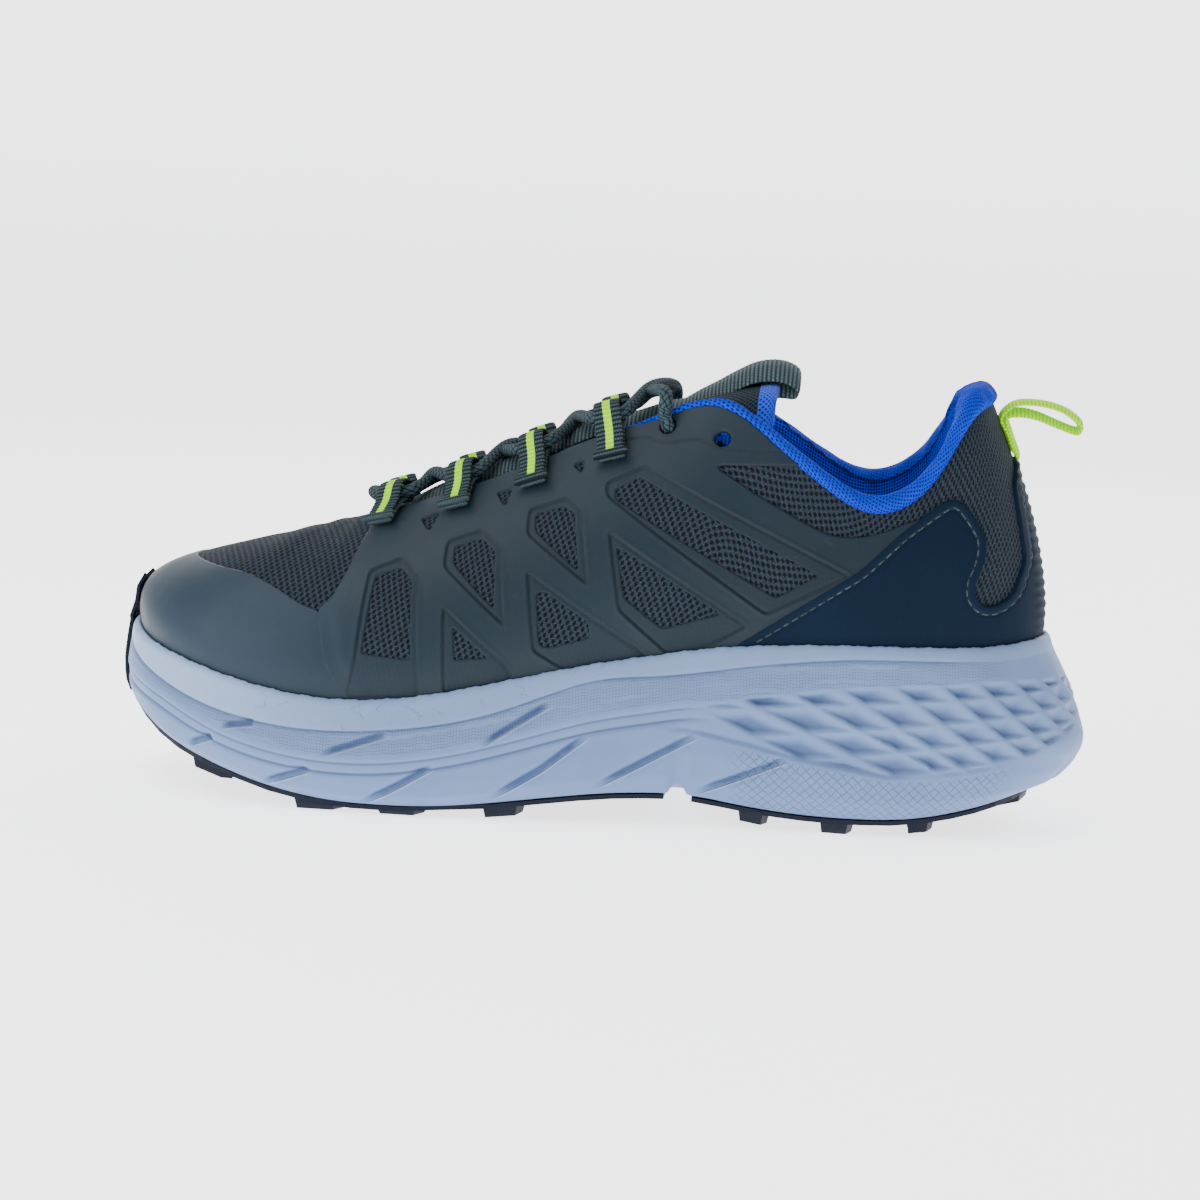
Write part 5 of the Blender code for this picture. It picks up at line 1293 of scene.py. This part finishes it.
path = [(x, 0.0, z) for x, z in TAB_PATH]
strap("webbing_tongue_tab", path, (0, 1, 0), TAB_WIDTH, tab_web, "tongue_pull_loop", 1.25,
      ribs=0.07, bow=(4.6, 6.6))
middle = (tongue_rows[:, 3] + tongue_rows[:, 4]) / 2
path = [middle[row] * (1, 0, 1) + (0, 0, up) for row, up in STRIP_RISE] + [STRIP_END]
strap("webbing_tongue_strip", path, (0, 1, 0), TAB_WIDTH, tab_web, None, 1.25, ribs=0.07,
      bow=(4.4, 4.8))
low, mid, top = skin(np.array([0.0]), np.array([PULL_DROPS]))[0][0]
path = [(p[0] + PULL_UNDER, 0, p[2]) for p in (low, mid, top)]
path += [(top[0] + p / 100 * PULL_REACH, 0, low[2] + q / 100 * PULL_RISE) for p, q in PULL_PATH]
path += [(top[0] + 2.3, 0, top[2] + 1.0), (mid[0] + 2.1, 0, mid[2]), (low[0] + 2.1, 0, low[2])]
strap("webbing_heel_pull", path, (0, 1, 0), PULL_WIDTH, neon_web, "heel_pull_loop", 1.1,
      ribs=0.05, bow=(0.6, 2.6))


# Laces.  Round braided cord, crossed through the folded loops and down into the upper
# pair of eyelets, where both ends are hidden.
LACE = 3.9
TWIST = 1.5
EYE_REACH = 4.8
EYE_RISE = 3.95


def eye(share, side):
    """Middle of a lace loop's eye and the direction of the shoe's length there."""
    edge, along, up, normal = eye_frame(share, side)
    return edge + up * EYE_REACH + normal * EYE_RISE, along


def lace_half(start):
    """One half of the lace: from the middle of the front bar to its top eyelet."""
    half = LOOP_WIDTH * 0.65
    points, side = [], start

    def lift(a, b):
        return np.array([0, 0, 0.05 * abs(b[1] - a[1]) + (0.35 * LACE if start > 0 else -0.2)])

    for i, share in enumerate(LACE_LOOPS):
        here, along = eye(share, side)
        if i == 0:
            other = eye(share, -side)[0]
            points.append((here + other) / 2 + np.array([-LOOP_WIDTH, 0, -0.6]))
        points += [here - along * half, here, here + along * half]
        if i + 1 < len(LACE_LOOPS):
            there = eye(LACE_LOOPS[i + 1], -side)[0]
            points.append((here + there) / 2 + lift(here, there))
            side = -side
    here = points[-1]
    share, drop = EYELETS[0]
    hole, along, up, normal = place_on(share, drop, -side)
    over = hole + up * (drop + 4.0) + normal * 4.2
    points += [(here + over) / 2 + lift(here, over), over, hole + normal * 3.6 + up * 2.5,
               hole + normal * 1.2, hole - normal * 1.4]
    return points


def make_lace():
    """Tube along both halves.  The braid is two families of strands that wind opposite ways, sines
    of the angle plus and minus the running length.  Where their product is above zero the first
    lies on top, else the second, and the radius follows it; the material draws the same braid."""
    path, run = even_path(lace_half(-1)[::-1] + lace_half(1)[1:], 0.36)
    step = unit(np.gradient(path, axis=0))
    normal = unit(np.cross(step, (0, 0, 1.0)))
    other = np.cross(normal, step)
    turn = np.linspace(0, 2 * math.pi, 22, endpoint=False)[None, :] - math.pi / 2
    one, two = np.sin(3 * turn + TWIST * run[:, None]), np.sin(3 * turn - TWIST * run[:, None])
    strand = np.where(one * two > 0, np.abs(one), np.abs(two))
    radius = LACE / 2 * (0.97 + 0.06 * strand)
    points = path[:, None] + radius[:, :, None] * (np.cos(turn)[:, :, None] * normal[:, None]
                                                   + 0.92 * np.sin(turn)[:, :, None] * other[:, None])
    uv = np.stack(np.broadcast_arrays(run[:, None], turn * LACE / 2), 2)
    return points, uv


lace_grid, lace_map = make_lace()
cord = Finish("braided lace", {"Roughness": 0.8, "Specular IOR Level": 0.15})
u, v, _ = cord.axes(cord.along())
one, two = (v * (6 / LACE) + u * TWIST).sine(), (v * (6 / LACE) - u * TWIST).sine()
over = (one * two).step(-0.12, 0.12)
strand = one.size() * over + two.size() * (1 - over)
fuzz = cord.noise(cord.place(), 1500.0, 2.0)
tone = cord.layers(cord.mix(strand.step(0.12, 0.8), tint(7, 14, 19), tint(52, 69, 76)),
                   (fuzz.step(0.62, 0.75) * 0.3, (84, 102, 110)))
cord.put({"Base Color": tone, "Normal": cord.relief(strand * 0.8 + fuzz * 0.25, 0.35)})
lace = piece("lace_braided_cord", lace_grid, tube_faces(lace_grid), cord, None, lace_map)
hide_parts("laces")


# Piping.  The lining's blue edge, turned out along the throat behind the last loop.
PIPE_RINGS = 70
for word, first, last in (("lateral", 7.7, 9.15), ("medial", COUNT - 9.15, COUNT - 7.7)):
    base, normal = skin(np.linspace(first, last, PIPE_RINGS), np.full((PIPE_RINGS, 1), 0.3))
    path = base[:, 0] - normal[:, 0] * 0.9
    side = np.cross(unit(np.gradient(path, axis=0)), normal[:, 0])
    turn = np.linspace(0, 2 * math.pi, 17)[:-1][None, :]
    taper = 1 - np.abs(np.linspace(-1, 1, PIPE_RINGS)) ** 12
    thick = 1.45 * np.sqrt(np.clip(taper, 0.02, 1))[:, None, None]
    points = path[:, None] + thick * (np.cos(turn)[:, :, None] * normal[:, 0][:, None]
                                      + np.sin(turn)[:, :, None] * side[:, None])
    uv = np.stack(np.broadcast_arrays(np.linspace(0, 22, PIPE_RINGS)[:, None], turn * 1.3), 2)
    beyond = np.full(points.shape[:2], 5.0)
    piece("piping_throat_" + word, points, tube_faces(points), collar_knit,
          {"inside": -beyond, "seam": beyond}, uv)


# Insole.  Loose foam sock liner on the footbed under dark blue cloth.
INSOLE = 4.0
sock = Finish("insole cloth", {"Roughness": 0.92, "Specular IOR Level": 0.15, "Sheen Weight": 0.2})
u, v, _ = sock.axes(sock.stretch(sock.place(), (1000, 1000, 1000)))
woven = ((u * 4.2).sine() * (v * 4.2).sine()).step(-0.6, 0.6)
patina = sock.noise(sock.place(), 30.0, 3.0)
sock.put({"Base Color": sock.mix(woven * 0.5 + patina * 0.3, tint(2, 10, 34), tint(8, 36, 96)),
          "Normal": sock.relief(woven, 0.15)})
insole_where = even_stations(0, COUNT, 2.0)[:-1]
foot, out = foot_at(insole_where), outward(insole_where)
bed = height_line(FOOTBED_LINE, foot[:, 0]) + GAP
inset = -(TUCK + WALL + 0.4)
rings = []
for shift, rise in ((0.0, 0.0), (0.3, INSOLE * 0.4), (0.1, INSOLE - 0.6), (-1.0, INSOLE)):
    level = foot + out * (inset + shift)
    level[:, 2] = bed + rise
    rings.append(level)
side = np.stack(rings, 1)
RUNGS = 25
over = web(rings[-1], RUNGS, lambda x: height_line(FOOTBED_LINE, x) + GAP + INSOLE)
under = web(rings[0], RUNGS, lambda x: height_line(FOOTBED_LINE, x) + GAP)
count = side.shape[0] * side.shape[1]
faces = np.concatenate([grid_faces(side.shape[0], side.shape[1], wrap=True),
                        grid_faces(over.shape[0], RUNGS, start=count),
                        grid_faces(under.shape[0], RUNGS, start=count + len(over) * RUNGS)[:, ::-1]])
points = np.concatenate([part.reshape(-1, 3) for part in (side, over, under)])
insole = piece("insole_sock_liner", points, faces, sock)
weld(insole)
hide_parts("insole")


# Stitches.  One run of short thread round the heel counter, sunk in its pressed line.
thread = Finish("stitch thread", {"Roughness": 0.7, "Specular IOR Level": 0.3})
twist = thread.noise(thread.place(), 2500.0, 2.0)
thread.put({"Base Color": thread.mix(twist.step(0.3, 0.7), tint(18, 30, 38), tint(64, 80, 86))})


def stitch_run(outline, radius, inset, pitch, long, thick, grid, lift):
    """Capsules along an outline of the side view, moved inwards, set on the surface on both sides."""
    p = rounded(outline, radius)
    way = unit(np.roll(p, -1, 0) - np.roll(p, 1, 0))
    turn = np.sum(p[:, 0] * np.roll(p[:, 1], -1) - np.roll(p[:, 0], -1) * p[:, 1])
    p = p + np.stack([-way[:, 1], way[:, 0]], 1) * inset * (1 if turn > 0 else -1)
    p = np.concatenate([p, p[:1]])
    run = run_of(p)
    at = np.arange(pitch / 2, run[-1], pitch)
    before, centre, after = (np.stack([np.interp(at + shift, run, p[:, k]) for k in range(2)], 1)
                             for shift in (-0.5, 0.0, 0.5))
    ahead = unit(after - before)
    _, base, normal, drop = grid
    points, faces = [], []
    angle = np.linspace(0, 2 * math.pi, 7)[:-1]
    bead = ((-0.5, 0.25), (-0.42, 0.8), (-0.15, 1.0), (0.15, 1.0), (0.42, 0.8), (0.5, 0.25))
    for (x, z), (dx, dz) in zip(centre, ahead):
        for side in (-1, 1):
            part = base[:, :, 1] * side > 0.5
            away = np.where(part, (base[:, :, 0] - x) ** 2 + (base[:, :, 2] - z) ** 2, 1e9)
            spot = np.unravel_index(int(away.argmin()), away.shape)
            if away[spot] > 0.5 or not 1.0 < drop[spot] < drop[spot[0]].max() - 1:
                continue
            n, q = normal[spot], base[spot]
            if abs(n[1]) < 0.25:
                continue
            y = q[1] - (n[0] * (x - q[0]) + n[2] * (z - q[2])) / n[1]
            along = unit(np.array([dx, -(n[0] * dx + n[2] * dz) / n[1], dz]))
            over = np.cross(n, along)
            middle = np.array([x, y, z]) + n * lift
            start = len(points)
            for share, fat in bead:
                sink = -0.35 * thick * (abs(share) > 0.45)
                for t in angle:
                    points.append(middle + along * long * share
                                  + n * (sink + thick / 2 * fat * math.sin(t))
                                  + over * thick / 2 * fat * math.cos(t))
            for ring in range(start, start + (len(bead) - 1) * 6, 6):
                for j in range(6):
                    k = (j + 1) % 6
                    faces.append((ring + j, ring + k, ring + 6 + k, ring + 6 + j))
            faces.append(tuple(start + j for j in range(5, -1, -1)))
            faces.append(tuple(start + len(bead) * 6 - 6 + j for j in range(6)))
    return np.array(points), faces


points, faces = stitch_run(PATCH_EDGE, 2.0, SEAM_INSET, 2.9, 2.1, 0.55, heel_grid, 0.66)
piece("stitches_heel_counter", points, faces, thread)


# Outsole.  Two plates of dark rubber with chevron lugs, cemented under the foam; the
# solids are exact, and the rubber's grain, its worn lugs and the dust on it are added.
rubber = Finish("outsole rubber", {"Specular IOR Level": 0.2})
grain = rubber.noise(rubber.place(), 1400.0, 3.0)
dust = rubber.noise(rubber.place(), 60.0, 4.0, 0.65).step(0.5, 0.8)
_, _, high = rubber.axes(rubber.place())
shade = rubber.layers(tint(4, 13, 30), (dust * 0.3, (26, 36, 50)),
                      (high.step(0.0022, 0.0) * 0.35, (34, 44, 58)))
rubber.put({"Base Color": shade, "Roughness": dust * 0.2 + 0.55, "Normal": rubber.relief(grain, 0.12)})
for word in ("outsole_forefoot", "outsole_heel"):
    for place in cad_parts[word].material_slots:
        place.material = rubber.material


# Floor, light and camera: a plain pale floor that gives off light as a shooting table does,
# a bright backdrop, soft light from above and from the toe, and the photograph's own angle
# and roll.  The backdrop is a little darker just over the floor, so that no horizon shows.
WHITE = (1.0, 1.0, 1.0, 1.0)
HALF_FLOOR = 30
floor_paint = Finish("pale floor", {"Roughness": 0.9, "Specular IOR Level": 0.1,
                                    "Emission Strength": 2.2, "Emission Color": WHITE})
floor_paint.put({"Base Color": tint(250, 251, 253)})
mesh = bpy.data.meshes.new("floor")
mesh.from_pydata([(x * HALF_FLOOR, y * HALF_FLOOR, 0) for x, y in ((-1, -1), (1, -1), (1, 1), (-1, 1))],
                 [], [(0, 1, 2, 3)])
mesh.materials.append(floor_paint.material)
floor = bpy.data.objects.new("floor", mesh)
bpy.context.collection.objects.link(floor)
sky = bpy.data.worlds.new("studio")
bpy.context.scene.world = sky
sky.use_nodes = True
nodes, join = sky.node_tree.nodes, sky.node_tree.links.new
parts = nodes.new("ShaderNodeSeparateXYZ")
join(nodes.new("ShaderNodeTexCoord").outputs["Generated"], parts.inputs[0])
both = nodes.new("ShaderNodeMath")
both.operation = "MULTIPLY"
for i, (axis, kind, span) in enumerate((("Y", "SMOOTHSTEP", (0.45, 0.95, 0.5, 3.9)),
                                        ("Z", "LINEAR", (0.0, 0.15, 0.80, 1.0)))):
    fade = nodes.new("ShaderNodeMapRange")
    fade.interpolation_type = kind
    for socket, number in zip(("From Min", "From Max", "To Min", "To Max"), span):
        fade.inputs[socket].default_value = number
    join(parts.outputs[axis], fade.inputs["Value"])
    join(fade.outputs[0], both.inputs[i])
join(both.outputs[0], nodes["Background"].inputs[1])
nodes["Background"].inputs[0].default_value = (0.98, 0.99, 1.0, 1.0)


def soft_light(name, place, target, size, power, color):
    """Square area light turned from its place towards a target, in metres."""
    lamp = bpy.data.lights.new(name, "AREA")
    lamp.shape, lamp.size, lamp.energy, lamp.color = "SQUARE", size, power, color
    made = bpy.data.objects.new(name, lamp)
    bpy.context.collection.objects.link(made)
    made.location = place
    way = mathutils.Vector(target) - mathutils.Vector(place)
    made.rotation_euler = way.to_track_quat("-Z", "Y").to_euler()


soft_light("softbox above", (-0.45, -0.3, 1.2), (0, 0, 0.03), 1.0, 12, (0.97, 0.985, 1.0))
soft_light("softbox left", (-1.1, -0.7, 0.55), (-0.05, 0, 0.05), 0.6, 9, (0.95, 0.98, 1.0))
soft_light("softbox behind", (0.6, 0.9, 0.9), (0, 0, 0.08), 0.8, 6, (1.0, 1.0, 1.0))

LENS = 75.0
SENSOR = 36.0
DISTANCE = 0.75
AIM = (0.0, 0.0, 0.0595)
azimuth, elevation, roll = math.radians(5.0), math.radians(7.0), math.radians(2.5)
back = mathutils.Vector((math.sin(azimuth) * math.cos(elevation),
                         -math.cos(azimuth) * math.cos(elevation), math.sin(elevation)))
right = mathutils.Vector((0, 0, 1)).cross(back).normalized()
up = back.cross(right)
right, up = (right * math.cos(roll) + up * math.sin(roll), up * math.cos(roll) - right * math.sin(roll))
lens = bpy.data.cameras.new("camera")
lens.lens = LENS
lens.sensor_width = SENSOR
camera = bpy.data.objects.new("camera", lens)
bpy.context.collection.objects.link(camera)
camera.matrix_world = mathutils.Matrix.LocRotScale(
    mathutils.Vector(AIM) + back * DISTANCE,
    mathutils.Matrix((right, up, back)).transposed().to_quaternion(), None)
bpy.context.scene.camera = camera
